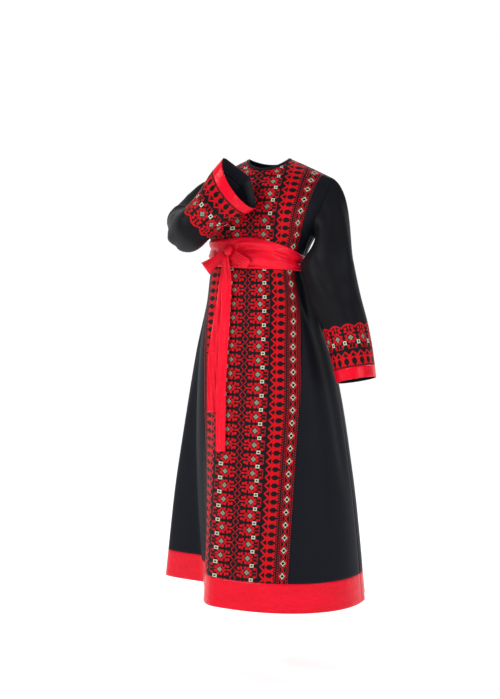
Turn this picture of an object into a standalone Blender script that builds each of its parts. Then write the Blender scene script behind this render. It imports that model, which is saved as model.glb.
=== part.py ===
"""Palestinian thobe dress: embroidered front panel, A-line skirt, flared sleeves, satin borders and tied sash.

Metres, +Z up, the front faces -Y and the wearer's left is +X. The origin is the middle of the shoulder
line, at the base of the neck, where the wearer holds the dress up. Each cloth piece is a grid of points on
the middle of its wall. The walls are then thickened along normals that neighbours share, so seams meet.
"""

import math

import bmesh
import bpy
import numpy as np

# Cloth
WALL = 0.002
SATIN_WALL = 0.002
SEAM_GAP = 0.0003
LAYER_GAP = 0.0004

# Shoulders, neck and armholes
NECK_HALF = 0.064
NECK_FRONT = 0.034
NECK_BACK = 0.015
BINDING_WIDTH = 0.009
SHOULDER_SLOPE = 0.52
SHOULDER_ROUND = 0.06
FRONT_ROLL = 0.16
BACK_ROLL = 0.11
ARMPIT = -0.245

# Skirt
WAIST = -0.32
HEM = -1.378
HEM_BAND = 0.088
HEM_LIFT = 0.022
HEM_LOWEST_TURN = 40.0
ROUNDNESS = 2.2

# Sleeves, measured back from the cuff
CUFF_BAND = 0.035
CAP_REACH = 0.80
FOLD_LIFT = 1.6

# Grid densities
PANEL_COLUMNS = 10
SIDE_COLUMNS = 6
BACK_COLUMNS = 16
YOKE_ROWS = 10
YOKE_SPACING = 1.3
YOKE_SAMPLES = 200
TORSO_ROWS = (-0.245, -0.283, -0.32, -0.365, -0.42, -0.50, -0.60, -0.72, -0.86, -1.00, -1.15)
SLEEVE_CAP_ROWS = 5
SLEEVE_ROWS = 9

# Body sections by height: middle of the section, how far it is turned, half width, reach to the front
# and to the back, the front panel's centre line and its half width measured along the cloth.
BODY = {
    "height": (-1.400, -1.000, -0.620, -0.400, -0.320, -0.260, -0.200, -0.100, 0.020),
    "middle_x": (-0.057, -0.045, -0.035, -0.034, -0.034, -0.024, -0.014, -0.004, 0.000),
    "middle_y": (0.096, 0.070, 0.035, 0.002, -0.005, -0.002, 0.000, 0.000, 0.000),
    "twist": (-10.0, -8.0, -4.0, -1.0, 0.0, 0.0, 0.0, 0.0, 0.0),
    "half_width": (0.351, 0.300, 0.226, 0.162, 0.147, 0.160, 0.190, 0.205, 0.208),
    "front": (0.252, 0.212, 0.163, 0.122, 0.115, 0.125, 0.137, 0.118, 0.100),
    "back": (0.243, 0.213, 0.170, 0.118, 0.100, 0.100, 0.102, 0.098, 0.090),
    "centre_line": (-0.081, -0.061, -0.044, -0.037, -0.034, -0.026, -0.019, -0.009, -0.002),
    "panel_half": (0.175, 0.176, 0.176, 0.166, 0.150, 0.156, 0.168, 0.174, 0.183),
}

# Armhole edge from armpit to shoulder tip: share of the way up, and distance from the middle.
ARMHOLE = {
    "rise": (0.0, 0.05, 0.12, 0.30, 0.50, 0.75, 1.0),
    "out": (0.1685, 0.1710, 0.1705, 0.171, 0.179, 0.190, 0.203),
}
PANEL_IN_YOKE = {
    "rise": (0.0, 0.25, 0.50, 0.75, 1.0),
    "out": (0.146, 0.155, 0.163, 0.170, 0.180),
}

# Skirt folds: where each starts and ends (degrees from centre front, + to the wearer's left), how wide
# its two slopes are, its depth as a share of the radius at the hem, and the height where it begins.
FOLDS = (
    # start, rise, end, fall, depth, begins
    (-8.0, 46.0, -90.5, 10.0, 0.46, -0.36),
    (-118.0, 12.0, -140.0, 12.0, 0.07, -0.55),
    (-158.0, 14.0, -184.0, 12.0, 0.09, -0.45),
    (150.0, 13.0, 126.0, 13.0, 0.08, -0.48),
    (112.0, 11.0, 94.0, 11.0, 0.05, -0.60),
)

# Sleeve sections from the upper arm to the cuff: centre, the way the sleeve runs there,
# half width, half depth, the angle of the wide way across, and how full the far half is (2 is round).
LEFT_SLEEVE = {
    "x": (0.2000, 0.2265, 0.2590, 0.2870, 0.2945),
    "y": (-0.055, -0.065, -0.074, -0.083, -0.086),
    "z": (-0.330, -0.439, -0.527, -0.643, -0.678),
    "run_x": (0.17, 0.20, 0.22, 0.20, 0.20),
    "run_y": (-0.06, -0.10, -0.13, -0.12, -0.12),
    "run_z": (-1.0, -1.0, -1.0, -1.0, -1.0),
    "half_wide": (0.0780, 0.0765, 0.069, 0.062, 0.059),
    "half_deep": (0.064, 0.066, 0.067, 0.072, 0.073),
    "roll": (0.0, 0.0, 0.0, 0.0, 0.0),
    "far_power": (2.0, 2.0, 2.0, 2.0, 2.0),
}
RIGHT_SLEEVE = {
    "x": (-0.2390, -0.2150, -0.1900, -0.1640, -0.1230, -0.0615, -0.0325),
    "y": (-0.1000, -0.1700, -0.2280, -0.2550, -0.2430, -0.2140, -0.2065),
    "z": (-0.2030, -0.2220, -0.2280, -0.2160, -0.1760, -0.1120, -0.0860),
    "run_x": (-0.02, 0.05, 0.18, 0.62, 0.74, 0.76, 0.78),
    "run_y": (-0.90, -0.88, -0.95, -0.55, -0.15, -0.35, -0.48),
    "run_z": (-0.35, -0.25, 0.00, 0.45, 0.66, 0.52, 0.40),
    "half_wide": (0.060, 0.062, 0.064, 0.060, 0.062, 0.083, 0.090),
    "half_deep": (0.060, 0.060, 0.058, 0.056, 0.056, 0.050, 0.050),
    "roll": (0.0, 0.0, 0.0, 8.0, 16.0, 16.0, 16.0),
    "far_power": (2.0, 2.0, 2.0, 2.0, 1.7, 1.2, 1.0),
}

# Sash around the waist: upper and lower edge by turn, and its folds.
SASH = {
    "turn": (-180.0, -90.0, -40.0, 0.0, 45.0, 80.0, 130.0, 180.0),
    "top": (-0.275, -0.258, -0.252, -0.247, -0.272, -0.303, -0.290, -0.275),
    "bottom": (-0.345, -0.330, -0.338, -0.342, -0.345, -0.352, -0.350, -0.345),
}
SASH_LEVELS = 4
SASH_ROWS = 6
SASH_EASE = 0.0014
SASH_FOLD = 0.004
SASH_FOLD_RATE = 0.8
SASH_SLANT = 1.2

KNOT_CENTRE = (-0.0925, -0.1370, -0.288)
KNOT_HALF = (0.019, 0.0125, 0.017)

# Bow loops and tails: one row for each.
LOOPS = (
    # name, out_x, out_y, out_z, length, end_width, knot_width, fullness
    ("sash_loop_right", -0.80, 0.04, -0.62, 0.070, 0.040, 0.018, 0.009),
    ("sash_loop_left", 0.86, 0.02, -0.46, 0.056, 0.046, 0.020, 0.010),
)
LOOP_FORWARD = 0.0045
TAILS = (
    # name, top, bottom, side at top, side at bottom, width, stand off
    ("sash_tail_long", -0.3060, -0.9000, 0.001, -0.020, 0.031, 0.0110),
    ("sash_tail_short", -0.3070, -0.7850, -0.012, -0.057, 0.029, 0.0040),
)
TAIL_ROWS = 12
TAIL_COLUMNS = 4

BLACK_CREPE = (0.012, 0.013, 0.017, 1.0)
EMBROIDERED = (0.220, 0.006, 0.012, 1.0)
RED_SATIN = (0.780, 0.004, 0.020, 1.0)


def smooth(value):
    """Soft step from 0 to 1."""
    value = np.clip(value, 0.0, 1.0)
    return value * value * (3.0 - 2.0 * value)


def along(table, key, name, at):
    """Reads a column of a table at any place, on a smooth curve through its rows."""
    places = np.asarray(table[key], float)
    values = np.asarray(table[name], float)
    slopes = np.gradient(values, places)
    at = np.clip(np.asarray(at, float), places[0], places[-1])
    low = np.clip(np.searchsorted(places, at, side="right") - 1, 0, len(places) - 2)
    step = places[low + 1] - places[low]
    t = (at - places[low]) / step
    rise = values[low + 1] - values[low]
    start = slopes[low] * step
    finish = slopes[low + 1] * step
    return values[low] + t * start + t * t * (3 * rise - 2 * start - finish) + t**3 * (start + finish - 2 * rise)


def unit(vectors):
    return vectors / np.maximum(np.linalg.norm(vectors, axis=-1, keepdims=True), 1e-12)


def shoulder_line(x):
    """Height of the shoulder seam, highest at the neck."""
    return -SHOULDER_SLOPE * (np.hypot(x, SHOULDER_ROUND) - math.hypot(NECK_HALF, SHOULDER_ROUND))


def depth_share(x, height, roll):
    """How far the cloth has come forward, or back, below the shoulder seam."""
    below = np.clip((shoulder_line(x) - height) / roll, 0.0, 1.0)
    return (1.0 - (1.0 - below) ** 2.4) ** 0.8


def yoke_surface(x, height, front):
    """Depth of the bodice over the chest, or over the back, at a place."""
    out = np.abs(x - along(BODY, "height", "middle_x", height)) / along(BODY, "height", "half_width", height)
    round_off = (1.0 - np.clip(out, 0.0, 1.0) ** ROUNDNESS) ** (1.0 / ROUNDNESS)
    reach = along(BODY, "height", "front" if front else "back", height)
    share = depth_share(x, height, FRONT_ROLL if front else BACK_ROLL)
    return along(BODY, "height", "middle_y", height) + (-1.0 if front else 1.0) * reach * share * round_off


def fold_pull(turn, height):
    """Share of the radius that the skirt's folds take away."""
    pull = np.zeros_like(turn)
    for start, rise, end, fall, depth, begins in FOLDS:
        grown = np.clip((begins - height) / (begins - HEM), 0.0, 1.2)
        way = math.copysign(1.0, end - start)
        inside = smooth((turn - start) * way / abs(rise)) * smooth((end - turn) * way / abs(fall))
        pull += depth * grown * inside
    return pull


def ring(height, turn):
    """Points of the body at a height, by turn in degrees from centre front."""
    turn = (np.asarray(turn, float) + 180.0) % 360.0 - 180.0
    side = np.sin(np.radians(turn))
    ahead = np.cos(np.radians(turn))
    half_width = along(BODY, "height", "half_width", height)
    reach = np.where(ahead > 0, along(BODY, "height", "front", height), along(BODY, "height", "back", height))
    radius = (np.abs(side / half_width) ** ROUNDNESS + np.abs(ahead / reach) ** ROUNDNESS) ** (-1 / ROUNDNESS)
    pull = fold_pull(turn, height) + fold_pull(turn - 360.0, height) * (turn > 90)
    radius = radius * (1.0 - pull)
    way = np.radians(turn + along(BODY, "height", "twist", height))
    x = along(BODY, "height", "middle_x", height) + radius * np.sin(way)
    y = along(BODY, "height", "middle_y", height) - radius * np.cos(way)
    grown = smooth((WAIST - height) / (WAIST - HEM))
    lift = HEM_LIFT * 0.5 * (1.0 - np.cos(np.radians(turn - HEM_LOWEST_TURN)))
    return np.stack([x, y, height + grown * lift], axis=-1)


def shares(count):
    return np.linspace(0.0, 1.0, count + 1)


def yoke_rises():
    """Shares of the way up the armhole, closer together near the armpit."""
    return shares(YOKE_ROWS) ** YOKE_SPACING


def turns_between(height, first, last, count, first_arc=None, last_arc=None):
    """Turns that split a stretch of the ring evenly along the cloth. An arc overrides its turn."""
    turns = np.linspace(-200.0, 200.0, 1601)
    points = ring(height, turns)
    arcs = np.concatenate([[0.0], np.cumsum(np.linalg.norm(np.diff(points, axis=0), axis=1))])
    front = np.abs(turns) < 60.0
    centre_x = along(BODY, "height", "centre_line", height)
    centre = np.interp(centre_x, points[front, 0], arcs[front])
    begin = centre + first_arc if first_arc is not None else np.interp(first, turns, arcs)
    end = centre + last_arc if last_arc is not None else np.interp(last, turns, arcs)
    return np.interp(begin + (end - begin) * shares(count), arcs, turns)


def yoke_row(rise, left, right, columns, front):
    """One row of a bodice piece above the armpit, evenly along the cloth from x=left to x=right."""
    x = left + (right - left) * (0.5 - 0.5 * np.cos(math.pi * shares(YOKE_SAMPLES)))
    inside = np.clip(1.0 - (x / NECK_HALF) ** 2, 0.0, 1.0) ** 0.75
    drop = NECK_FRONT if front else NECK_BACK
    top = np.where(np.abs(x) < NECK_HALF, -drop * inside, shoulder_line(x))
    height = ARMPIT + rise * (top - ARMPIT)
    points = np.stack([x, yoke_surface(x, height, front), height], axis=-1)
    arcs = np.concatenate([[0.0], np.cumsum(np.linalg.norm(np.diff(points, axis=0), axis=1))])
    at = arcs[-1] * shares(columns)
    return np.stack([np.interp(at, arcs, points[:, axis]) for axis in range(3)], axis=-1)


def edge_of_armhole(rise, side):
    middle = along(BODY, "height", "middle_x", ARMPIT) * (1.0 - smooth(rise * 2.0))
    return middle + side * along(ARMHOLE, "rise", "out", rise)


def edge_of_panel(rise, side):
    height = ARMPIT + rise * (shoulder_line(0.18) - ARMPIT)
    centre = along(BODY, "height", "centre_line", height)
    return centre + side * along(PANEL_IN_YOKE, "rise", "out", rise)


def torso_rows():
    """Heights of the rows from armpit to the top of the hem band."""
    return TORSO_ROWS + (HEM + HEM_BAND,)


def panel_arc(height):
    return float(along(BODY, "height", "panel_half", height))


def panel_row(height):
    turns = turns_between(height, 0, 0, PANEL_COLUMNS, -panel_arc(height), panel_arc(height))
    return ring(height, turns)


def side_row(height, side):
    arc = side * panel_arc(height)
    if side > 0:
        turns = turns_between(height, 0, 90.0, SIDE_COLUMNS, first_arc=arc)
    else:
        turns = turns_between(height, -90.0, 0, SIDE_COLUMNS, last_arc=arc)
    return ring(height, turns)


def back_row(height):
    """From the wearer's left side seam round the back to the right one."""
    turns = np.linspace(90.0, 270.0, 721)
    points = ring(height, turns)
    arcs = np.concatenate([[0.0], np.cumsum(np.linalg.norm(np.diff(points, axis=0), axis=1))])
    return ring(height, np.interp(arcs[-1] * shares(BACK_COLUMNS), arcs, turns))


def body_grid(row_at, left_edge, right_edge, front):
    """Rows from the shoulder down: first the yoke above the armpit, then the rings below it."""
    lower = [row_at(height) for height in torso_rows()]
    columns = len(lower[0]) - 1
    upper = []
    for rise in yoke_rises()[:0:-1]:
        upper.append(yoke_row(rise, left_edge(rise), right_edge(rise), columns, front))
    return np.array(upper + lower)


def armhole_loop(side):
    """Armhole from the armpit up its front edge and down its back edge."""
    rises = yoke_rises()
    front = [armhole_point(rise, side, True) for rise in rises]
    back = [armhole_point(rise, side, False) for rise in rises[-2:0:-1]]
    return np.array(front + back)


def armhole_point(rise, side, front):
    if rise == 0.0:
        return ring(ARMPIT, 90.0 * side)
    x = edge_of_armhole(rise, side)
    height = ARMPIT + rise * (shoulder_line(x) - ARMPIT)
    return np.array([x, yoke_surface(x, height, front), height])


def sleeve_frames(table, side):
    """Section frames from the first row to the last, turned as little as possible from one to the next."""
    runs = unit(np.stack([table["run_x"], table["run_y"], table["run_z"]], axis=-1).astype(float))
    outer = np.array([side, 0.0, 0.0]) if side > 0 else np.array([-0.15, -0.30, 0.95])
    frames = []
    for run in runs:
        outer = unit(outer - np.dot(outer, run) * run)
        frames.append((run, outer, np.cross(run, outer) * side))
    return frames


def sleeve_sections(table, side, angles):
    """Rings of points, one for each row of a sleeve's table."""
    rings = []
    for number, (_, outer, fore) in enumerate(sleeve_frames(table, side)):
        centre = np.array([table["x"][number], table["y"][number], table["z"][number]])
        roll = math.radians(table["roll"][number])
        wide = np.cos(angles - roll) / table["half_wide"][number]
        deep = np.sin(angles - roll) / table["half_deep"][number]
        power = np.where(deep > 0, table["far_power"][number], 2.0)
        radius = (np.abs(wide) ** power + np.abs(deep) ** power) ** (-1.0 / power)
        spoke = -np.cos(angles)[:, None] * outer + np.sin(angles)[:, None] * fore
        rings.append(centre + radius[:, None] * spoke)
    return np.array(rings)


def spline_rings(rings, places, at):
    """Rings at the given distances, on smooth curves through the section rings."""
    slopes = np.gradient(rings, places, axis=0)
    result = []
    for place in at:
        low = min(max(int(np.searchsorted(places, place, side="right")) - 1, 0), len(places) - 2)
        step = places[low + 1] - places[low]
        t = (place - places[low]) / step
        rise = rings[low + 1] - rings[low]
        start = slopes[low] * step
        finish = slopes[low + 1] * step
        bend = t * t * (3 * rise - 2 * start - finish) + t**3 * (start + finish - 2 * rise)
        result.append(rings[low] + t * start + bend)
    return np.array(result)


def cap_rows(loop, first, run, side):
    """The sleeve's head: from the armhole out over the shoulder and down into the arm."""
    out = np.array([0.78, 0.0, -0.50]) if side > 0 else np.array([-1.00, 0.05, -0.20])
    reach = np.linalg.norm(first - loop, axis=1, keepdims=True)
    leave = unit(out) * reach * CAP_REACH
    arrive = run * reach * CAP_REACH
    rows = []
    for t in shares(SLEEVE_CAP_ROWS)[:-1]:
        spread = (2 * t**3 - 3 * t**2 + 1) * loop + (3 * t**2 - 2 * t**3) * first
        rows.append(spread + (t**3 - 2 * t**2 + t) * leave + (t**3 - t**2) * arrive)
    return np.array(rows)


def sleeve_grids(table, side):
    """The sleeve's rings from armhole to the cuff seam, and the cuff's own rings."""
    loop = armhole_loop(side)
    lengths = np.linalg.norm(np.roll(loop, -1, axis=0) - loop, axis=1)
    angles = 2 * math.pi * np.concatenate([[0.0], np.cumsum(lengths)[:-1]]) / lengths.sum()
    rings = sleeve_sections(table, side, angles)
    centres = rings.mean(axis=1)
    places = np.concatenate([[0.0], np.cumsum(np.linalg.norm(np.diff(centres, axis=0), axis=1))])
    cuff_start = places[-1] - CUFF_BAND
    arm = spline_rings(rings, places, np.linspace(0.0, cuff_start, SLEEVE_ROWS))
    cuff = spline_rings(rings, places, (cuff_start, places[-1] - 0.5 * CUFF_BAND, places[-1]))
    head = cap_rows(loop, rings[0], sleeve_frames(table, side)[0][0], side)
    return np.concatenate([head, arm]), cuff


class Cloth:
    """One cloth piece: a grid of points, which of its four edges are seams, and whether it closes round."""

    def __init__(self, name, grid, colour, seams="", around=False, wall=WALL, roughness=0.75):
        self.name = name
        self.grid = np.array(grid, float)
        self.colour = colour
        self.seams = seams
        self.around = around
        self.wall = wall
        self.roughness = roughness
        self.top_lift = 0.0

    def faces(self):
        rows, columns = self.grid.shape[:2]
        last = columns if self.around else columns - 1
        for row in range(rows - 1):
            for column in range(last):
                beside = (column + 1) % columns
                yield ((row, column), (row + 1, column), (row + 1, beside), (row, beside))

    def rim(self):
        """Pairs of neighbouring points along the open edges."""
        rows, columns = self.grid.shape[:2]
        for row in (0, rows - 1):
            for column in range(columns if self.around else columns - 1):
                yield (row, column), (row, (column + 1) % columns)
        if not self.around:
            for column in (0, columns - 1):
                for row in range(rows - 1):
                    yield (row, column), (row + 1, column)


def key_of(point):
    return tuple(np.round(point, 5))


def shared_normals(*groups):
    """Normals at every point, the same for all that meet there. Each group counts once at a seam."""
    shared = {}
    for pieces in groups:
        sums = {}
        for piece in pieces:
            for face in piece.faces():
                a, b, c, d = (piece.grid[corner] for corner in face)
                normal = np.cross(c - a, d - b)
                for corner in face:
                    key = key_of(piece.grid[corner])
                    sums[key] = sums.get(key, 0.0) + normal
        for key, total in sums.items():
            shared[key] = shared.get(key, 0.0) + unit(total)
    return shared


def normals_of(piece, sums):
    rows, columns = piece.grid.shape[:2]
    found = np.array([[sums[key_of(piece.grid[row, column])] for column in range(columns)] for row in range(rows)])
    return unit(found)


def square_shoulders(pieces, shared):
    """Along the shoulder seams, front and back meet in one upright plane."""
    for piece in pieces:
        for point in piece.grid[0]:
            if abs(point[0]) > NECK_HALF:
                lean = SHOULDER_SLOPE * point[0] / math.hypot(point[0], SHOULDER_ROUND)
                shared[key_of(point)] = unit(np.array([lean, 0.0, 1.0]))


def inset(edge, inside, closed):
    """Half the seam gap at each point of an edge, square to the edge and into the piece."""
    if closed:
        run = unit(np.roll(edge, -1, axis=0) - np.roll(edge, 1, axis=0))
    else:
        run = unit(np.gradient(edge, axis=0))
    inward = inside - edge
    inward = inward - (inward * run).sum(axis=-1, keepdims=True) * run
    return 0.5 * SEAM_GAP * unit(inward)


def drawn_back(piece):
    """The grid with its seam edges moved half the gap into the piece."""
    grid = piece.grid.copy()
    if "t" in piece.seams:
        grid[0] += inset(piece.grid[0], piece.grid[1], piece.around) + piece.top_lift
    if "b" in piece.seams:
        grid[-1] += inset(piece.grid[-1], piece.grid[-2], piece.around)
    if "l" in piece.seams:
        grid[:, 0] += inset(piece.grid[:, 0], piece.grid[:, 1], False)
    if "r" in piece.seams:
        grid[:, -1] += inset(piece.grid[:, -1], piece.grid[:, -2], False)
    return grid


def material(name, colour, roughness):
    made = bpy.data.materials.new(name)
    made.use_nodes = True
    made.diffuse_color = colour
    shader = made.node_tree.nodes["Principled BSDF"]
    shader.inputs["Base Color"].default_value = colour
    shader.inputs["Roughness"].default_value = roughness
    shader.inputs["Metallic"].default_value = 0.0
    return made


def add_object(name, points, faces, colour, roughness):
    mesh = bpy.data.meshes.new(name)
    mesh.from_pydata([tuple(point) for point in points], [], faces)
    work = bmesh.new()
    work.from_mesh(mesh)
    bmesh.ops.triangulate(work, faces=work.faces[:])
    bmesh.ops.recalc_face_normals(work, faces=work.faces[:])
    work.to_mesh(mesh)
    work.free()
    mesh.shade_smooth()
    mesh.set_sharp_from_angle(angle=math.radians(50))
    mesh.materials.append(material(name + "_cloth", colour, roughness))
    bpy.context.scene.collection.objects.link(bpy.data.objects.new(name, mesh))


def build_cloth(piece, sums):
    """Thickens a grid into a closed wall."""
    grid = drawn_back(piece)
    normals = normals_of(piece, sums)
    outer = grid + 0.5 * piece.wall * normals
    inner = grid - 0.5 * piece.wall * normals
    rows, columns = grid.shape[:2]
    points = np.concatenate([outer.reshape(-1, 3), inner.reshape(-1, 3)])
    below = rows * columns

    def index(corner):
        return corner[0] * columns + corner[1]

    faces = []
    for face in piece.faces():
        ids = [index(corner) for corner in face]
        faces.append(ids)
        faces.append([below + number for number in reversed(ids)])
    for start, finish in piece.rim():
        if key_of(piece.grid[start]) > key_of(piece.grid[finish]):
            start, finish = finish, start
        a, b = index(start), index(finish)
        faces.append([a, b, below + b])
        faces.append([a, below + b, below + a])
    add_object(piece.name, points, faces, piece.colour, piece.roughness)


def body_pieces():
    """Panel, side fronts and back, from shoulder to the top of the hem band."""
    panel = body_grid(panel_row, lambda r: edge_of_panel(r, -1), lambda r: edge_of_panel(r, 1), True)
    left = body_grid(lambda h: side_row(h, 1), lambda r: edge_of_panel(r, 1), lambda r: edge_of_armhole(r, 1), True)
    right = body_grid(
        lambda h: side_row(h, -1), lambda r: edge_of_armhole(r, -1), lambda r: edge_of_panel(r, -1), True
    )
    back = body_grid(back_row, lambda r: edge_of_armhole(r, 1), lambda r: edge_of_armhole(r, -1), False)
    return [
        Cloth("front_panel", panel, EMBROIDERED, "tblr"),
        Cloth("side_front_left", left, BLACK_CREPE, "tblr"),
        Cloth("side_front_right", right, BLACK_CREPE, "tblr"),
        Cloth("back", back, BLACK_CREPE, "tblr"),
    ]


def hem_pieces():
    """Satin band under the front and the back, split at the side seams."""
    heights = (HEM + HEM_BAND, HEM + 0.5 * HEM_BAND, HEM)
    front = [np.concatenate([side_row(h, -1)[:-1], panel_row(h), side_row(h, 1)[1:]]) for h in heights]
    back = [back_row(h) for h in heights]
    return [
        Cloth("hem_band_front", front, RED_SATIN, "tlr", wall=SATIN_WALL, roughness=0.35),
        Cloth("hem_band_back", back, RED_SATIN, "tlr", wall=SATIN_WALL, roughness=0.35),
    ]


def sleeve_pieces():
    pieces = []
    for name, table, side in (("left", LEFT_SLEEVE, 1), ("right", RIGHT_SLEEVE, -1)):
        arm, cuff = sleeve_grids(table, side)
        if side < 0:
            arm, cuff = arm[:, ::-1], cuff[:, ::-1]
        pieces.append(Cloth("sleeve_" + name, arm, BLACK_CREPE, "tb", around=True))
        pieces.append(Cloth("cuff_" + name, cuff, RED_SATIN, "t", around=True, wall=SATIN_WALL, roughness=0.35))
    return pieces


def neck_loop(widen):
    """Closed loop on the body, this far outside the neckline."""
    angles = np.radians(np.arange(0.0, 360.0, 15.0))
    x = (NECK_HALF + widen) * np.sin(angles)
    front = np.cos(angles) > -1e-9
    drop = np.where(front, NECK_FRONT, NECK_BACK) + widen
    height = -drop * np.abs(np.cos(angles)) ** 1.5
    height = np.minimum(height, shoulder_line(np.maximum(np.abs(x), NECK_HALF)))
    y = np.where(front, yoke_surface(x, height, True), yoke_surface(x, height, False))
    return np.stack([x, y, height], axis=-1)


def moved_out(grid, around, distance):
    """The grid moved off the cloth that it lies on."""
    lying = Cloth("lying", grid, BLACK_CREPE, around=around)
    return lying.grid + distance * normals_of(lying, shared_normals([lying]))


def neck_binding():
    grid = np.array([neck_loop(0.0), neck_loop(0.5 * BINDING_WIDTH), neck_loop(BINDING_WIDTH)])
    return Cloth("neck_binding", moved_out(grid, True, WALL + LAYER_GAP), BLACK_CREPE, around=True)


def body_round(height):
    """The whole body at one height: right side front, panel, left side front and back."""
    front = [side_row(height, -1)[:-1], panel_row(height)[:-1], side_row(height, 1)[:-1]]
    return np.concatenate(front + [back_row(height)[:-1]])


def sash_grid():
    """Rows across the sash from its upper edge to its lower edge, with long soft folds."""
    levels = TORSO_ROWS[:SASH_LEVELS]
    body = np.array([body_round(height) for height in levels])
    middle = body[SASH_LEVELS // 2]
    ahead = along(BODY, "height", "middle_y", WAIST) - middle[:, 1]
    turns = np.degrees(np.arctan2(middle[:, 0] - along(BODY, "height", "middle_x", WAIST), ahead))
    top = along(SASH, "turn", "top", turns)
    bottom = along(SASH, "turn", "bottom", turns)
    grid = np.zeros((SASH_ROWS + 1, len(turns), 3))
    for column in range(len(turns)):
        heights = top[column] + (bottom[column] - top[column]) * shares(SASH_ROWS)
        for axis in range(3):
            grid[:, column, axis] = np.interp(-heights, -np.array(levels), body[:, column, axis])
    lying = Cloth("lying", grid, RED_SATIN, around=True)
    normals = normals_of(lying, shared_normals([lying]))
    slant = shares(SASH_ROWS)[:, None] * SASH_ROWS - SASH_SLANT * np.sin(np.radians(turns))[None, :]
    relief = SASH_FOLD * (0.5 + 0.5 * np.cos(slant * math.pi * SASH_FOLD_RATE))
    stand_off = 0.5 * (WALL + SATIN_WALL) + SASH_EASE
    return grid + (stand_off + relief)[:, :, None] * normals


def tail_grid(top, bottom, side_top, side_bottom, width, stand_off):
    """A hanging end of the sash, which follows the skirt under it."""
    rows = []
    for share in shares(TAIL_ROWS):
        height = top + (bottom - top) * share
        side = side_top + (side_bottom - side_top) * smooth(share * 1.3)
        x = KNOT_CENTRE[0] + side + width * (shares(TAIL_COLUMNS) - 0.5) * (0.55 + 0.45 * smooth(share * 6.0))
        turns = np.linspace(-100.0, 100.0, 801)
        points = ring(height, turns)
        front = np.abs(turns) < 62.0
        order = np.argsort(points[front, 0])
        y = np.interp(x, points[front][order, 0], points[front][order, 1])
        crease = 0.0012 * np.cos(shares(TAIL_COLUMNS) * 2 * math.pi)
        clear = stand_off + 0.5 * SATIN_WALL + 0.012 * (1.0 - smooth((top - height) / 0.06))
        rows.append(np.stack([x, y - clear - crease, np.full(len(x), height)], axis=-1))
    return np.array(rows)


def loop_grid(out, length, end_width, knot_width, fullness, start):
    """A bow loop: the strip runs out from the knot, turns over and comes back under itself."""
    out = unit(np.array(out))
    ahead = np.array([0.0, -1.0, 0.0])
    across = unit(np.cross(out, ahead))
    rows = []
    for angle in np.radians(np.linspace(0.0, 180.0, 11)):
        reach = length * math.sin(angle) ** 0.7
        apart = fullness * math.cos(angle) * (0.35 + 0.65 * math.sin(angle))
        wide = knot_width + (end_width - knot_width) * math.sin(angle) ** 1.2
        puff = 0.003 * math.sin(angle)
        line = (shares(4) - 0.5)[:, None] * wide * across
        bow = puff * np.cos((shares(4) - 0.5) * math.pi)[:, None] * ahead * math.cos(angle)
        rows.append(start + reach * out + apart * ahead + line + bow)
    return np.array(rows)


def sash_pieces():
    pieces = [Cloth("sash_wrap", sash_grid(), RED_SATIN, around=True, wall=SATIN_WALL, roughness=0.35)]
    centre = np.array(KNOT_CENTRE)
    for name, x, y, z, length, end_width, knot_width, fullness in LOOPS:
        out = unit(np.array([x, y, z]))
        start = centre + out * (abs(out[0]) * KNOT_HALF[0] + abs(out[2]) * KNOT_HALF[2] * 0.6 + 0.002)
        start[1] -= LOOP_FORWARD
        grid = loop_grid((x, y, z), length, end_width, knot_width, fullness, start)
        pieces.append(Cloth(name, grid, RED_SATIN, wall=SATIN_WALL, roughness=0.35))
    for name, top, bottom, side_top, side_bottom, width, stand_off in TAILS:
        grid = tail_grid(top, bottom, side_top, side_bottom, width, stand_off)
        pieces.append(Cloth(name, grid, RED_SATIN, wall=SATIN_WALL, roughness=0.35))
    return pieces


def build_knot():
    """The knot: a small cushion of tied satin, squarer than an egg."""
    work = bmesh.new()
    bmesh.ops.create_icosphere(work, subdivisions=2, radius=1.0)
    for vert in work.verts:
        out = np.array(vert.co)
        squarer = np.sign(out) * np.abs(out) ** 0.8
        vert.co = np.array(KNOT_CENTRE) + squarer * np.array(KNOT_HALF)
    points = [tuple(vert.co) for vert in work.verts]
    faces = [[vert.index for vert in face.verts] for face in work.faces]
    work.free()
    add_object("sash_knot", points, faces, RED_SATIN, 0.35)


def lift_off_body(sleeve, body):
    """Where a sleeve folds back along the body below the armhole, its edge lies on the body, not in it."""
    body_normals = shared_normals(body)
    sleeve_normals = shared_normals([sleeve])
    keys = [key_of(point) for point in sleeve.grid[0]]
    from_body = np.array([body_normals[key] for key in keys])
    folded = 0.5 * (1.0 - (from_body * np.array([sleeve_normals[key] for key in keys])).sum(axis=1))
    sleeve.top_lift = from_body * WALL * FOLD_LIFT * folded[:, None]


def clear_scene():
    for item in list(bpy.data.objects):
        bpy.data.objects.remove(item, do_unlink=True)


def main():
    clear_scene()
    body = body_pieces()
    hem = hem_pieces()
    sleeves = sleeve_pieces()
    shared = shared_normals(body + hem, sleeves)
    square_shoulders(body, shared)
    for sleeve in sleeves[::2]:
        lift_off_body(sleeve, body)
    for piece in body + hem + sleeves:
        build_cloth(piece, shared)
    for piece in [neck_binding()] + sash_pieces():
        build_cloth(piece, shared_normals([piece]))
    build_knot()


main()
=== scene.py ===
"""Palestinian thobe dress: the visual model, built over the CAD frame.

Metres, +Z up, the front faces -Y and the wearer's left is +X. Each cloth piece is a fine grid on the form
of its CAD piece, with its creases laid in, thickened to a thin shell. The embroidery is counted
cross-stitch: its motifs are charted below in stitches and read by the material from the cloth's own UVs.
"""

import math

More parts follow.
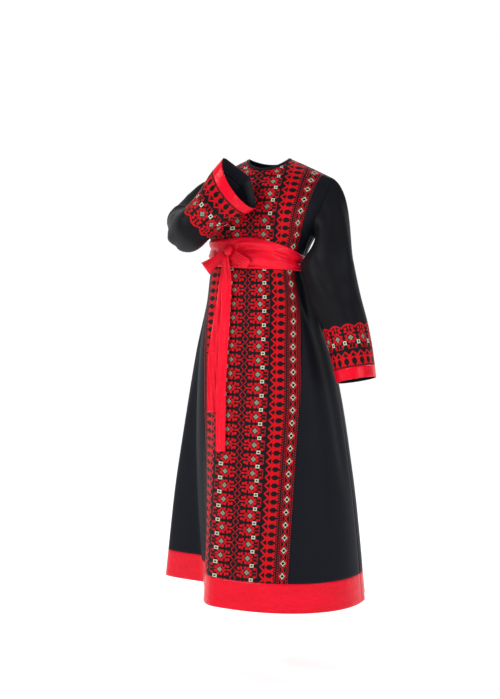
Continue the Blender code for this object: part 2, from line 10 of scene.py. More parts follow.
import bpy
import numpy as np
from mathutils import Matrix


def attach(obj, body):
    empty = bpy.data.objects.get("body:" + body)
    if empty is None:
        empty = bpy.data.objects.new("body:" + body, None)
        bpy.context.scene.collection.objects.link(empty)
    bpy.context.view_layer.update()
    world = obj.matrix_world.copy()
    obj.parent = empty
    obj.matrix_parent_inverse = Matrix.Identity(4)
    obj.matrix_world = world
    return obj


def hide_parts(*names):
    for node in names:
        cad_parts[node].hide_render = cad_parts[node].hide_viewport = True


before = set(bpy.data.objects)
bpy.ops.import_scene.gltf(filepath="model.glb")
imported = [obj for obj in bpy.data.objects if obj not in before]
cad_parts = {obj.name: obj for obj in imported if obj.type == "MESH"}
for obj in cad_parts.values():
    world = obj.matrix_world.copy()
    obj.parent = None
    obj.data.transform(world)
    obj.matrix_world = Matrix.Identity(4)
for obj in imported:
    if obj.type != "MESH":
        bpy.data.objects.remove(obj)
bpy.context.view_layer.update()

# Camera, fitted to the standing garment: turned to the wearer's left, level, lens shifted down.
CAMERA_TURN = math.radians(16.0)
CAMERA_PLACE = (1.080, -3.987, -0.347)
CAMERA_LENS = 67.98
CAMERA_SHIFT_Y = -0.1137
FLOOR = -1.62

# Stage
STAGE_SIZE = 60.0
STAGE_ROUGHNESS = 0.9
WORLD_LIGHT = 0.40
LIGHTS = (
    # name, place, target, size, power, colour
    ("key", (-2.2, -3.6, 1.9), (0.0, 0.0, -0.6), 1.0, 120.0, (1.0, 0.99, 0.97)),
    ("fill", (3.2, -2.4, 0.4), (0.0, 0.0, -0.7), 1.4, 42.0, (0.95, 0.97, 1.0)),
    ("rim", (1.4, 2.8, 1.6), (0.0, 0.0, -0.5), 1.2, 40.0, (1.0, 1.0, 1.0)),
)

# Cloth
SHELL = 0.0012
BINDING_PROUD = 0.0014
BINDING_POWER = 1.5
BINDING_STEP = 3.0
NECK_HALF = 0.064
NECK_FRONT = 0.034
NECK_BACK = 0.015
BINDING_WIDTH = 0.009
SHOULDER_SLOPE = 0.52
SHOULDER_ROUND = 0.06
FRONT_ROLL = 0.16
BACK_ROLL = 0.11
ROLL_POWER = 2.4
ROLL_EASE = 0.8
NECK_POWER = 0.75
PANEL_AT_SHOULDER = 0.18
YOKE_NARROWING = 0.9
FULLEST_FOLD = 1.2
ARMPIT = -0.245
WAIST = -0.32
HEM = -1.378
HEM_BAND = 0.088
HEM_LIFT = 0.022
HEM_LOWEST_TURN = 40.0
ROUNDNESS = 2.2
CUFF_BAND = 0.035
CAP_REACH = 0.80
# Ways that the sleeves leave their armholes, and the outer sides of the arms: left is 1, right is -1.
CAP_LEAVES = {1: (0.78, 0.0, -0.50), -1: (-1.00, 0.05, -0.20)}
ARM_OUTER = {1: (1.0, 0.0, 0.0), -1: (-0.15, -0.30, 0.95)}
CREASE_FADE_IN = 0.22
CREASE_FADE_OUT = 0.30
CUFF_CALM = 8.0
CUFF_CREASE = 0.15

# Grid densities
PANEL_COLUMNS = 64
SIDE_COLUMNS = 30
BACK_COLUMNS = 110
YOKE_ROWS = 36
YOKE_SPACING = 1.3
YOKE_SAMPLES = 300
RING_SAMPLES = 10
FRONT_REACH = 200.0
NEAR_FRONT = 60.0
SIDE_TURN = 90.0
CREASE_STEPS = 14
TORSO_STEP = 0.0065
BAND_ROWS = 14
CAP_ROWS = 22
SLEEVE_ROWS = 84
CUFF_ROWS = 10

# Body sections by height: middle of the section, how far it is turned, half width, reach to the front
# and to the back, the front panel's centre line and its half width measured along the cloth.
BODY = {
    "height": (-1.4, -1.0, -0.62, -0.4, -0.32, -0.26, -0.2, -0.1, 0.02),
    "middle_x": (-0.057, -0.045, -0.035, -0.034, -0.034, -0.024, -0.014, -0.004, 0.0),
    "middle_y": (0.096, 0.07, 0.035, 0.002, -0.005, -0.002, 0.0, 0.0, 0.0),
    "twist": (-10.0, -8.0, -4.0, -1.0, 0.0, 0.0, 0.0, 0.0, 0.0),
    "half_width": (0.351, 0.3, 0.226, 0.162, 0.147, 0.16, 0.19, 0.205, 0.208),
    "front": (0.252, 0.212, 0.163, 0.122, 0.115, 0.125, 0.137, 0.118, 0.1),
    "back": (0.243, 0.213, 0.17, 0.118, 0.1, 0.1, 0.102, 0.098, 0.09),
    "centre_line": (-0.081, -0.061, -0.044, -0.037, -0.034, -0.026, -0.019, -0.009, -0.002),
    "panel_half": (0.175, 0.176, 0.176, 0.166, 0.15, 0.156, 0.168, 0.174, 0.183),
}
ARMHOLE = {
    "rise": (0.0, 0.05, 0.12, 0.30, 0.50, 0.75, 1.0),
    "out": (0.1685, 0.1710, 0.1705, 0.171, 0.179, 0.190, 0.203),
}
PANEL_IN_YOKE = {
    "rise": (0.0, 0.25, 0.50, 0.75, 1.0),
    "out": (0.146, 0.155, 0.163, 0.170, 0.180),
}
FOLDS = (
    # start, rise, end, fall, depth, begins
    (-8.0, 46.0, -90.5, 10.0, 0.46, -0.36),
    (-118.0, 12.0, -140.0, 12.0, 0.07, -0.55),
    (-158.0, 14.0, -184.0, 12.0, 0.09, -0.45),
    (150.0, 13.0, 126.0, 13.0, 0.08, -0.48),
    (112.0, 11.0, 94.0, 11.0, 0.05, -0.6),
)
LEFT_SLEEVE = {
    "x": (0.196, 0.2245, 0.259, 0.287, 0.2945),
    "y": (-0.055, -0.065, -0.074, -0.083, -0.086),
    "z": (-0.33, -0.439, -0.527, -0.643, -0.678),
    "run_x": (0.17, 0.2, 0.22, 0.2, 0.2),
    "run_y": (-0.06, -0.1, -0.13, -0.12, -0.12),
    "run_z": (-1.0, -1.0, -1.0, -1.0, -1.0),
    "half_wide": (0.082, 0.0785, 0.069, 0.062, 0.059),
    "half_deep": (0.064, 0.066, 0.067, 0.072, 0.073),
    "roll": (0.0, 0.0, 0.0, 0.0, 0.0),
    "far_power": (2.0, 2.0, 2.0, 2.0, 2.0),
}
RIGHT_SLEEVE = {
    "x": (-0.239, -0.215, -0.19, -0.164, -0.123, -0.0615, -0.0325),
    "y": (-0.1, -0.17, -0.228, -0.255, -0.243, -0.214, -0.2065),
    "z": (-0.203, -0.222, -0.228, -0.216, -0.176, -0.112, -0.086),
    "run_x": (-0.02, 0.05, 0.18, 0.62, 0.74, 0.76, 0.78),
    "run_y": (-0.9, -0.88, -0.95, -0.55, -0.15, -0.35, -0.48),
    "run_z": (-0.35, -0.25, 0.0, 0.45, 0.66, 0.52, 0.4),
    "half_wide": (0.06, 0.062, 0.064, 0.06, 0.062, 0.083, 0.09),
    "half_deep": (0.06, 0.06, 0.058, 0.056, 0.056, 0.05, 0.05),
    "roll": (0.0, 0.0, 0.0, 8.0, 16.0, 16.0, 16.0),
    "far_power": (2.0, 2.0, 2.0, 2.0, 1.7, 1.2, 1.0),
}
SASH = {
    "turn": (-180.0, -90.0, -40.0, 0.0, 45.0, 80.0, 130.0, 180.0),
    "top": (-0.275, -0.258, -0.252, -0.247, -0.272, -0.303, -0.29, -0.275),
    "bottom": (-0.345, -0.33, -0.338, -0.342, -0.345, -0.352, -0.35, -0.345),
}
SASH_OFF = 0.0034
SASH_PROUD = 0.0032
SASH_LEAST = 0.0016
SASH_EDGE = 0.06
SASH_RADIUS = 0.14
SASH_HEIGHT = 0.085
SASH_ROWS = 44
SASH_STEP = 1.5
FOLD_GAIN = 1.35
KNOT_CENTRE = (-0.0925, -0.1370, -0.288)
KNOT_HALF = (0.0125, 0.0115, 0.0150)
KNOT_SQUARE = 0.8
KNOT_SHOULDER = 0.6
KNOT_GROOVES = 7.0
KNOT_GROOVE = 0.050
KNOT_DRAWN_IN = 0.03
LOOPS = (
    # name, out_x, out_y, out_z, length, end_width, knot_width, fullness, rounding of the end
    ("sash_loop_right", -0.8, 0.04, -0.6, 0.074, 0.044, 0.02, 0.009, 0.0),
    ("sash_loop_left", 0.82, 0.02, -0.56, 0.062, 0.04, 0.03, 0.0125, 0.75),
)
LOOP_FORWARD = 0.0045
LOOP_ROWS = 60
LOOP_COLUMNS = 22
LOOP_BOW = 0.003
LOOP_PLEAT = 0.0013
LOOP_PLEATS = 9.0
LOOP_SHUT = 0.35
LOOP_CLEAR = 0.002
LOOP_TIP = 0.7
LOOP_WIDENS = 1.2
LOOP_SMOOTHS = 0.55
SATIN = 0.0009
FLAT_SHARE = 0.75
TAIL_ROWS = 120
TAIL_COLUMNS = 12
TAIL_PINCH = 0.55
TAIL_OPENS = 6.0
TAIL_DRIFT = 1.3
TAIL_CLEAR = 0.001
TAIL_FORWARD = 0.012
TAIL_SETTLES = 0.06
TAIL_REACH = 100.0
TAIL_NEAR = 62.0
TAIL_FOLD = 0.0024
TAIL_RIPPLE = 0.0011
HEM_TURNED = 0.0006
HEM_FROM = 0.972
HEM_STEP = 0.006
TAILS = (
    # name, top, bottom, side at top, side at bottom, width, stand off
    ("sash_tail_long", -0.3, -0.9, -0.007, -0.025, 0.032, 0.011),
    ("sash_tail_short", -0.301, -0.785, -0.013, -0.063, 0.034, 0.004),
)

# Creases on the body, each along the cloth from one place to another: turn from centre front in degrees
# and height, then width and depth in metres. A negative depth is a trough.
BODY_CREASES = (
    # turn, height, to turn, to height, width, depth
    (-96.0, -0.42, -112.0, -1.28, 0.022, 0.006),
    (-104.0, -0.5, -122.0, -1.28, 0.016, -0.005),
    (-84.0, -0.4, -96.0, -1.2, 0.016, -0.0035),
    (58.0, -0.38, 66.0, -1.25, 0.04, 0.005),
    (74.0, -0.38, 84.0, -1.1, 0.024, -0.0045),
    (36.0, -0.36, 40.0, -0.8, 0.03, -0.0025),
    (66.0, -0.345, 70.0, -0.52, 0.01, -0.003),
    (54.0, -0.345, 57.0, -0.47, 0.009, -0.0022),
    (82.0, -0.345, 86.0, -0.56, 0.009, 0.0028),
    (100.0, -0.345, 104.0, -0.6, 0.012, -0.004),
    (118.0, -0.345, 120.0, -0.66, 0.012, 0.004),
    (138.0, -0.345, 140.0, -0.62, 0.012, -0.0045),
    (158.0, -0.345, 161.0, -0.7, 0.014, 0.0045),
    (178.0, -0.345, 176.0, -0.66, 0.012, -0.0045),
    (-162.0, -0.345, -164.0, -0.64, 0.012, 0.0045),
    (-142.0, -0.345, -145.0, -0.6, 0.012, -0.004),
    (-122.0, -0.345, -126.0, -0.66, 0.012, 0.004),
    (-100.0, -0.345, -104.0, -0.55, 0.01, -0.0035),
    (-20.0, -0.345, -22.0, -0.44, 0.01, -0.0012),
    (12.0, -0.345, 13.0, -0.43, 0.01, -0.001),
    (62.0, -0.175, 70.0, -0.29, 0.007, -0.0032),
    (72.0, -0.215, 80.0, -0.3, 0.006, 0.0026),
    (80.0, -0.235, 86.0, -0.31, 0.006, -0.0026),
    (52.0, -0.225, 60.0, -0.29, 0.007, 0.002),
    (30.0, -0.215, 48.0, -0.27, 0.009, -0.0018),
    (-30.0, -0.185, -12.0, -0.245, 0.011, -0.0022),
    (-44.0, -0.165, -20.0, -0.215, 0.012, 0.0022),
    (100.0, -0.255, 118.0, -0.3, 0.008, -0.0026),
    (120.0, -0.245, 134.0, -0.3, 0.008, 0.0024),
    (146.0, -0.22, 152.0, -0.3, 0.009, -0.003),
    (170.0, -0.2, 166.0, -0.3, 0.01, 0.0026),
    (-168.0, -0.21, -160.0, -0.3, 0.01, -0.003),
    (-140.0, -0.23, -132.0, -0.3, 0.009, 0.0026),
    (-112.0, -0.25, -106.0, -0.3, 0.008, -0.0024),
)

# Creases on the sleeves: angle round the sleeve from its inner side in degrees, then share of the way
# from the armhole to the cuff seam, width in metres, depth in metres.
LEFT_CREASES = (
    # angle, share, to angle, to share, width, depth
    (150.0, 0.02, 168.0, 0.3, 0.014, 0.004),
    (120.0, 0.05, 138.0, 0.42, 0.016, -0.0034),
    (60.0, 0.14, 100.0, 0.46, 0.013, -0.0036),
    (42.0, 0.2, 84.0, 0.54, 0.012, 0.003),
    (30.0, 0.3, 66.0, 0.66, 0.012, -0.0034),
    (20.0, 0.44, 70.0, 0.6, 0.009, 0.0022),
    (110.0, 0.48, 118.0, 0.96, 0.018, 0.0026),
    (150.0, 0.44, 156.0, 0.92, 0.016, -0.0028),
    (200.0, 0.05, 214.0, 0.55, 0.016, -0.0036),
    (236.0, 0.1, 262.0, 0.46, 0.013, 0.0036),
    (270.0, 0.22, 300.0, 0.56, 0.012, -0.0038),
    (320.0, 0.26, 348.0, 0.52, 0.01, 0.003),
    (250.0, 0.56, 256.0, 0.98, 0.018, 0.003),
    (330.0, 0.6, 336.0, 0.98, 0.016, -0.003),
)
RIGHT_CREASES = (
    (20.0, 0.1, 70.0, 0.3, 0.011, -0.0045),
    (350.0, 0.16, 40.0, 0.36, 0.01, 0.004),
    (90.0, 0.28, 60.0, 0.52, 0.01, -0.0055),
    (110.0, 0.34, 88.0, 0.56, 0.009, 0.005),
    (70.0, 0.4, 130.0, 0.5, 0.009, -0.0055),
    (60.0, 0.47, 128.0, 0.57, 0.008, 0.0045),
    (140.0, 0.3, 150.0, 0.56, 0.012, -0.003),
    (230.0, 0.34, 205.0, 0.56, 0.014, 0.004),
    (262.0, 0.3, 240.0, 0.58, 0.011, -0.0045),
    (292.0, 0.34, 276.0, 0.6, 0.012, 0.0045),
    (318.0, 0.34, 306.0, 0.6, 0.01, -0.004),
    (180.0, 0.08, 196.0, 0.34, 0.016, 0.0035),
    (150.0, 0.05, 140.0, 0.3, 0.013, -0.0035),
    (250.0, 0.62, 262.0, 0.98, 0.016, 0.0022),
    (205.0, 0.6, 215.0, 0.98, 0.018, -0.0026),
)
SLEEVE_GIRTH = 0.40
SLEEVE_LENGTH = 0.56

# Folds of the sash, fanned from its knot: turn from centre front, share across, width, depth.
SASH_FOLDS = (
    # turn, share, to turn, to share, width, depth
    (-30.0, 0.42, 30.0, 0.34, 0.006, -0.0036),
    (26.0, 0.36, 120.0, 0.62, 0.005, -0.0042),
    (-24.0, 0.2, 40.0, 0.1, 0.005, 0.0026),
    (-20.0, 0.3, 110.0, 0.4, 0.004, -0.0022),
    (-18.0, 0.6, 122.0, 0.8, 0.0085, 0.0036),
    (-22.0, 0.86, 50.0, 0.92, 0.0045, -0.003),
    (-28.0, 0.52, 20.0, 0.52, 0.004, 0.0018),
    (20.0, 0.2, 118.0, 0.22, 0.0055, 0.0024),
    (-46.0, 0.4, -90.0, 0.3, 0.006, -0.0032),
    (-46.0, 0.58, -92.0, 0.66, 0.007, 0.0028),
    (-46.0, 0.76, -90.0, 0.88, 0.005, -0.0026),
    (124.0, 0.5, 200.0, 0.36, 0.007, -0.0034),
    (128.0, 0.7, 200.0, 0.66, 0.008, 0.0032),
    (116.0, 0.22, 190.0, 0.16, 0.006, 0.0026),
    (-180.0, 0.38, -88.0, 0.5, 0.0065, -0.0034),
    (-180.0, 0.64, -90.0, 0.78, 0.008, 0.003),
    (-180.0, 0.16, -92.0, 0.18, 0.006, 0.0026),
    (-150.0, 0.86, -60.0, 0.9, 0.005, -0.0024),
    (110.0, 0.9, 170.0, 0.88, 0.005, -0.0024),
)

# Cross-stitch
STITCH = 0.001525
PATTERN_HALF = 0.175
PLAIN_SHARE = 0.30
TUCKED_SCALE = 0.714
# Below the waist the pattern is a little narrower on the wearer's left, and wide again further down.
NARROWER = 0.06
NARROW_BLEND = 0.05
NARROW_ENDS = -0.80
NARROW_END_BLEND = 0.30
# In stitches: where the sleeve's band ends at the cuff, and the scalloped arches along its upper edge.
SLEEVE_LAST_STITCH = 87.0
SCALLOP_FOOT = 9.0
SCALLOP_RISE = 6.0
ARCH_HALF = 1.6
THREAD_WEAR = 0.30
THREAD_LIGHT = 1.4
THREADS = ".rsc"
THREAD_COLOURS = (
    (0.006, 0.0062, 0.0085, 1.0),
    (0.62, 0.0012, 0.007, 1.0),
    (0.24, 0.27, 0.205, 1.0),
    (0.56, 0.59, 0.44, 1.0),
)


def smooth(value):
    """Soft step from 0 to 1."""
    value = np.clip(value, 0.0, 1.0)
    return value * value * (3.0 - 2.0 * value)


def curve_through(places, values, at):
    """Values at any places, on a smooth curve through the given ones."""
    slopes = np.gradient(values, places, axis=0)
    low = np.clip(np.searchsorted(places, at, side="right") - 1, 0, len(places) - 2)
    step = places[low + 1] - places[low]
    t = (at - places[low]) / step
    spread = np.shape(t) + (1,) * (values.ndim - 1)
    t, step = np.reshape(t, spread), np.reshape(step, spread)
    rise = values[low + 1] - values[low]
    start = slopes[low] * step
    finish = slopes[low + 1] * step
    result = values[low] + t * start + t * t * (3 * rise - 2 * start - finish)
    return result + t**3 * (start + finish - 2 * rise)


def along(table, key, name, at):
    """Reads a column of a table at any place."""
    places = np.asarray(table[key], float)
    at = np.clip(np.asarray(at, float), places[0], places[-1])
    return curve_through(places, np.asarray(table[name], float), at)


def body(name, height):
    return along(BODY, "height", name, height)


def unit(vectors):
    return vectors / np.maximum(np.linalg.norm(vectors, axis=-1, keepdims=True), 1e-12)


def shares(count):
    return np.linspace(0.0, 1.0, count + 1)


def lengths_along(points):
    steps = np.linalg.norm(np.diff(points, axis=0), axis=-1)
    return np.concatenate([np.zeros((1,) + steps.shape[1:]), np.cumsum(steps, axis=0)])


def closed(grid):
    """The grid with its first column repeated after its last."""
    return np.concatenate([grid, grid[:, :1]], axis=1)


def shoulder_line(x):
    """Height of the shoulder seam, highest at the neck."""
    return -SHOULDER_SLOPE * (np.hypot(x, SHOULDER_ROUND) - math.hypot(NECK_HALF, SHOULDER_ROUND))


def yoke_surface(x, height, front):
    """Depth of the bodice over the chest, or over the back, at a place."""
    out = np.abs(x - body("middle_x", height)) / body("half_width", height)
    round_off = (1.0 - np.clip(out, 0.0, 1.0) ** ROUNDNESS) ** (1.0 / ROUNDNESS)
    below = np.clip((shoulder_line(x) - height) / (FRONT_ROLL if front else BACK_ROLL), 0.0, 1.0)
    share = (1.0 - (1.0 - below) ** ROLL_POWER) ** ROLL_EASE
    reach = body("front" if front else "back", height)
    return body("middle_y", height) + (-1.0 if front else 1.0) * reach * share * round_off


def fold_pull(turn, height):
    """Share of the radius that the skirt's folds take away."""
    pull = np.zeros_like(turn)
    for start, rise, end, fall, depth, begins in FOLDS:
        grown = np.clip((begins - height) / (begins - HEM), 0.0, FULLEST_FOLD)
        way = math.copysign(1.0, end - start)
        inside = smooth((turn - start) * way / abs(rise)) * smooth((end - turn) * way / abs(fall))
        pull += depth * grown * inside
    return pull


def ring(height, turn):
    """Points of the body at a height, by turn in degrees from centre front."""
    turn = (np.asarray(turn, float) + 180.0) % 360.0 - 180.0
    side = np.sin(np.radians(turn))
    ahead = np.cos(np.radians(turn))
    reach = np.where(ahead > 0, body("front", height), body("back", height))
    wide = np.abs(side / body("half_width", height)) ** ROUNDNESS
    radius = (wide + np.abs(ahead / reach) ** ROUNDNESS) ** (-1 / ROUNDNESS)
    radius = radius * (1.0 - fold_pull(turn, height) - fold_pull(turn - 360.0, height) * (turn > 90))
    way = np.radians(turn + body("twist", height))
    lift = HEM_LIFT * 0.5 * (1.0 - np.cos(np.radians(turn - HEM_LOWEST_TURN)))
    x = body("middle_x", height) + radius * np.sin(way)
    y = body("middle_y", height) - radius * np.cos(way)
    return np.stack([x, y, height + smooth((WAIST - height) / (WAIST - HEM)) * lift], axis=-1)


def front_row(height):
    """Right side front, panel and left side front at one height, each evenly spaced along the cloth."""
    turns = np.linspace(-FRONT_REACH, FRONT_REACH, 200 * RING_SAMPLES + 1)
    points = ring(height, turns)
    arcs = lengths_along(points)
    near = np.abs(turns) < NEAR_FRONT
    centre = np.interp(body("centre_line", height), points[near, 0], arcs[near])
    half = float(body("panel_half", height))
    right, left = np.interp([-SIDE_TURN, SIDE_TURN], turns, arcs)
    at = [
        right + (centre - half - right) * shares(SIDE_COLUMNS)[:-1],
        centre - half + 2 * half * shares(PANEL_COLUMNS)[:-1],
        centre + half + (left - centre - half) * shares(SIDE_COLUMNS),
    ]
    return ring(height, np.interp(np.concatenate(at), arcs, turns))


def back_row(height):
    """From the wearer's left side seam round the back to the right one."""
    turns = np.linspace(SIDE_TURN, 360.0 - SIDE_TURN, 120 * RING_SAMPLES + 1)
    arcs = lengths_along(ring(height, turns))
    return ring(height, np.interp(arcs[-1] * shares(BACK_COLUMNS), arcs, turns))


def yoke_row(rise, left, right, columns, front):
    """One row of a bodice piece above the armpit, evenly along the cloth from x=left to x=right."""
    x = left + (right - left) * (0.5 - 0.5 * np.cos(math.pi * shares(YOKE_SAMPLES)))
    inside = np.clip(1.0 - (x / NECK_HALF) ** 2, 0.0, 1.0) ** NECK_POWER
    drop = NECK_FRONT if front else NECK_BACK
    top = np.where(np.abs(x) < NECK_HALF, -drop * inside, shoulder_line(x))
    height = ARMPIT + rise * (top - ARMPIT)
    points = np.stack([x, yoke_surface(x, height, front), height], axis=-1)
    arcs = lengths_along(points)
    at = arcs[-1] * shares(columns)
    return np.stack([np.interp(at, arcs, points[:, axis]) for axis in range(3)], axis=-1)


def edge_of_armhole(rise, side):
    middle = body("middle_x", ARMPIT) * (1.0 - smooth(rise * 2.0))
    return middle + side * along(ARMHOLE, "rise", "out", rise)


def edge_of_panel(rise, side):
    height = ARMPIT + rise * (shoulder_line(PANEL_AT_SHOULDER) - ARMPIT)
    return body("centre_line", height) + side * along(PANEL_IN_YOKE, "rise", "out", rise)


def yoke_rises():
    """Shares of the way up the armhole, closer together near the armpit."""
    return shares(YOKE_ROWS) ** YOKE_SPACING


def armhole_point(rise, side, front):
    if rise == 0.0:
        return ring(ARMPIT, SIDE_TURN * side)
    x = edge_of_armhole(rise, side)
    height = ARMPIT + rise * (shoulder_line(x) - ARMPIT)
    return np.array([x, yoke_surface(x, height, front), height])


def armhole_loop(side):
    """Armhole from the armpit up its front edge and down its back edge."""
    rises = yoke_rises()
    front = [armhole_point(rise, side, True) for rise in rises]
    back = [armhole_point(rise, side, False) for rise in rises[-2:0:-1]]
    return np.array(front + back)


BODICE_EDGES = ((edge_of_armhole, -1), (edge_of_panel, -1), (edge_of_panel, 1), (edge_of_armhole, 1))


def body_grids():
    """The whole front and the whole back, from the shoulders to the hem's lower edge."""
    top_of_band = HEM + HEM_BAND
    torso = np.linspace(ARMPIT, top_of_band, round((ARMPIT - top_of_band) / TORSO_STEP) + 1)
    heights = np.concatenate([torso, np.linspace(top_of_band, HEM, BAND_ROWS + 1)[1:]])
    front = [front_row(height) for height in heights]
    back = [back_row(height) for height in heights]
    front_top, back_top = [], []
    for rise in yoke_rises()[:0:-1]:
        edges = [edge(rise, side) for edge, side in BODICE_EDGES]
        right = yoke_row(rise, edges[0], edges[1], SIDE_COLUMNS, True)
        panel = yoke_row(rise, edges[1], edges[2], PANEL_COLUMNS, True)
        left = yoke_row(rise, edges[2], edges[3], SIDE_COLUMNS, True)
        front_top.append(np.concatenate([right[:-1], panel[:-1], left]))
        back_top.append(yoke_row(rise, edges[3], edges[0], BACK_COLUMNS, False))
    return np.array(front_top + front), np.array(back_top + back), len(front_top) + len(torso) - 1


def sleeve_sections(table, side, angles):
    """Rings of points, one for each row of a sleeve's table, turned as little as possible between rows."""
    runs = unit(np.stack([table["run_x"], table["run_y"], table["run_z"]], axis=-1).astype(float))
    outer = np.array(ARM_OUTER[side])
    rings = []
    for number, run in enumerate(runs):
        outer = unit(outer - np.dot(outer, run) * run)
        fore = np.cross(run, outer) * side
        roll = math.radians(table["roll"][number])
        wide = np.cos(angles - roll) / table["half_wide"][number]
        deep = np.sin(angles - roll) / table["half_deep"][number]
        power = np.where(deep > 0, table["far_power"][number], 2.0)
        radius = (np.abs(wide) ** power + np.abs(deep) ** power) ** (-1.0 / power)
        spoke = -np.cos(angles)[:, None] * outer + np.sin(angles)[:, None] * fore
        centre = np.array([table["x"][number], table["y"][number], table["z"][number]])
        rings.append(centre + radius[:, None] * spoke)
    return np.array(rings), runs[0]


def cap_rows(loop, first, run, side):
    """The sleeve's head: from the armhole out over the shoulder and down into the arm."""
    reach = np.linalg.norm(first - loop, axis=1, keepdims=True)
    leave = unit(np.array(CAP_LEAVES[side])) * reach * CAP_REACH
    arrive = run * reach * CAP_REACH
    rows = []
    for t in shares(CAP_ROWS)[:-1]:
        spread = (2 * t**3 - 3 * t**2 + 1) * loop + (3 * t**2 - 2 * t**3) * first
        rows.append(spread + (t**3 - 2 * t**2 + t) * leave + (t**3 - t**2) * arrive)
    return np.array(rows)


def sleeve_grid(table, side):
    """The whole sleeve from the armhole to the cuff's open edge, and the row where the cuff starts."""
    loop = armhole_loop(side)
    lengths = np.linalg.norm(np.roll(loop, -1, axis=0) - loop, axis=1)
    angles = 2 * math.pi * np.concatenate([[0.0], np.cumsum(lengths)[:-1]]) / lengths.sum()
    rings, first_run = sleeve_sections(table, side, angles)
    places = lengths_along(rings.mean(axis=1))
    cuff_start = places[-1] - CUFF_BAND
    arm = curve_through(places, rings, np.linspace(0.0, cuff_start, SLEEVE_ROWS))
    cuff = curve_through(places, rings, np.linspace(cuff_start, places[-1], CUFF_ROWS + 1)[1:])
    head = cap_rows(loop, rings[0], first_run, side)
    grid = np.concatenate([head, arm, cuff])
    if side < 0:
        grid = np.concatenate([grid[:, :1], grid[:, :0:-1]], axis=1)
        angles = np.concatenate([angles[:1], angles[:0:-1]])
    return grid, angles, len(head) + len(arm) - 1


def grid_normals(grids, arounds):
    """Smooth normals, shared wherever two grids have the same point."""
    points, normals = [], []
    for grid, around in zip(grids, arounds):
        wide = closed(grid) if around else grid
        cross = np.cross(wide[1:, 1:] - wide[:-1, :-1], wide[:-1, 1:] - wide[1:, :-1])
        total = np.zeros_like(wide)
        total[1:, 1:] += cross
        total[:-1, :-1] += cross
        total[:-1, 1:] += cross
        total[1:, :-1] += cross
        if around:
            total[:, 0] += total[:, -1]
            total = total[:, :-1]
        points.append(grid.reshape(-1, 3))
        normals.append(total.reshape(-1, 3))
    _, index = np.unique(np.round(np.concatenate(points), 5), axis=0, return_inverse=True)
    index = index.reshape(-1)
    sums = np.zeros((index.max() + 1, 3))
    np.add.at(sums, index, np.concatenate(normals))
    shared = unit(sums[index])
    result, start = [], 0
    for grid in grids:
        count = grid.shape[0] * grid.shape[1]
        result.append(shared[start:start + count].reshape(grid.shape))
        start += count
    return result


def crease(distance, share, width, depth):
    """Height of one crease at a distance from its line, faded out at its two ends."""
    fade = smooth(share / CREASE_FADE_IN) * smooth((1.0 - share) / CREASE_FADE_OUT)
    return depth * fade * np.exp(-((distance / width) ** 2))


def body_place(turn, height):
    if height < ARMPIT:
        return ring(height, turn)
    low = ring(ARMPIT, turn)
    front = abs(turn) < SIDE_TURN
    x = low[0] + (YOKE_NARROWING * low[0] - low[0]) * (height - ARMPIT)
    return np.array([x, yoke_surface(x, height, front), height])


def body_relief(points):
    """Creases laid over the body: the distance is measured in space to the crease's line on the cloth."""
    relief = np.zeros(points.shape[:-1])
    for turn, height, to_turn, to_height, width, depth in BODY_CREASES:
        steps = shares(CREASE_STEPS)
        line = [body_place(turn + (to_turn - turn) * s, height + (to_height - height) * s) for s in steps]
        best = np.full(relief.shape, np.inf)
        place = np.zeros(relief.shape)
        for number in range(len(line) - 1):
            run = line[number + 1] - line[number]
            t = np.clip(((points - line[number]) @ run) / (run @ run), 0.0, 1.0)
            distance = np.linalg.norm(points - line[number] - t[..., None] * run, axis=-1)
            nearer = distance < best
            best = np.where(nearer, distance, best)
            place = np.where(nearer, (number + t) / (len(line) - 1), place)
        relief += crease(best, place, width, depth)
    return relief


def flat_relief(across, down, table, scale_across, scale_down, period=None):
    """Creases on a grid with its own two measures, such as angle and share, scaled to metres."""
    relief = np.zeros(np.broadcast(across, down).shape)
    for a0, b0, a1, b1, width, depth in table:
        shifts = (0.0,) if period is None else (-period, 0.0, period)
        for shift in shifts:
            run = np.array([(a1 - a0) * scale_across, (b1 - b0) * scale_down])
            x = (across - a0 + shift) * scale_across
            y = (down - b0) * scale_down
            t = np.clip((x * run[0] + y * run[1]) / (run @ run), 0.0, 1.0)
            distance = np.hypot(x - t * run[0], y - t * run[1])
            relief = relief + crease(distance, t, width, depth)
    return relief


def corners_of(grid):
    """The four corners of each cell of a grid."""
    return np.stack([grid[:-1, :-1], grid[1:, :-1], grid[1:, 1:], grid[:-1, 1:]], axis=2)


def make_piece(name, grid, uv, material, around=False, thickness=SHELL, lining=None):
    """A mesh from a grid of points, with UVs in metres, thickened evenly to both sides."""
    rows, columns = grid.shape[:2]
    number = np.arange(rows * columns).reshape(rows, columns)
    if around:
        number = closed(number)
    faces = corners_of(number).reshape(-1, 4)
    mesh = bpy.data.meshes.new(name)
    mesh.from_pydata(grid.reshape(-1, 3).tolist(), [], faces.tolist())
    corners = corners_of(uv).reshape(-1, 2)
    layer = mesh.uv_layers.new(name="cloth")
    layer.data.foreach_set("uv", corners.astype(np.float32).ravel())
    mesh.shade_smooth()
    mesh.materials.append(material)
    obj = bpy.data.objects.new(name + "_cloth", mesh)
    bpy.context.scene.collection.objects.link(obj)
    shell = obj.modifiers.new("shell", "SOLIDIFY")
    shell.thickness = thickness
    shell.offset = 0.0
    if lining:
        mesh.materials.append(lining)
        shell.material_offset = 1
    return obj


def uv_of(grid, around=False):
    """UVs in metres from the grid's own middle row and each column's length."""
    wide = closed(grid) if around else grid
    across = lengths_along(wide[len(wide) // 2])
    down = lengths_along(wide)
    return np.stack([np.broadcast_to(across, down.shape), down], axis=-1)


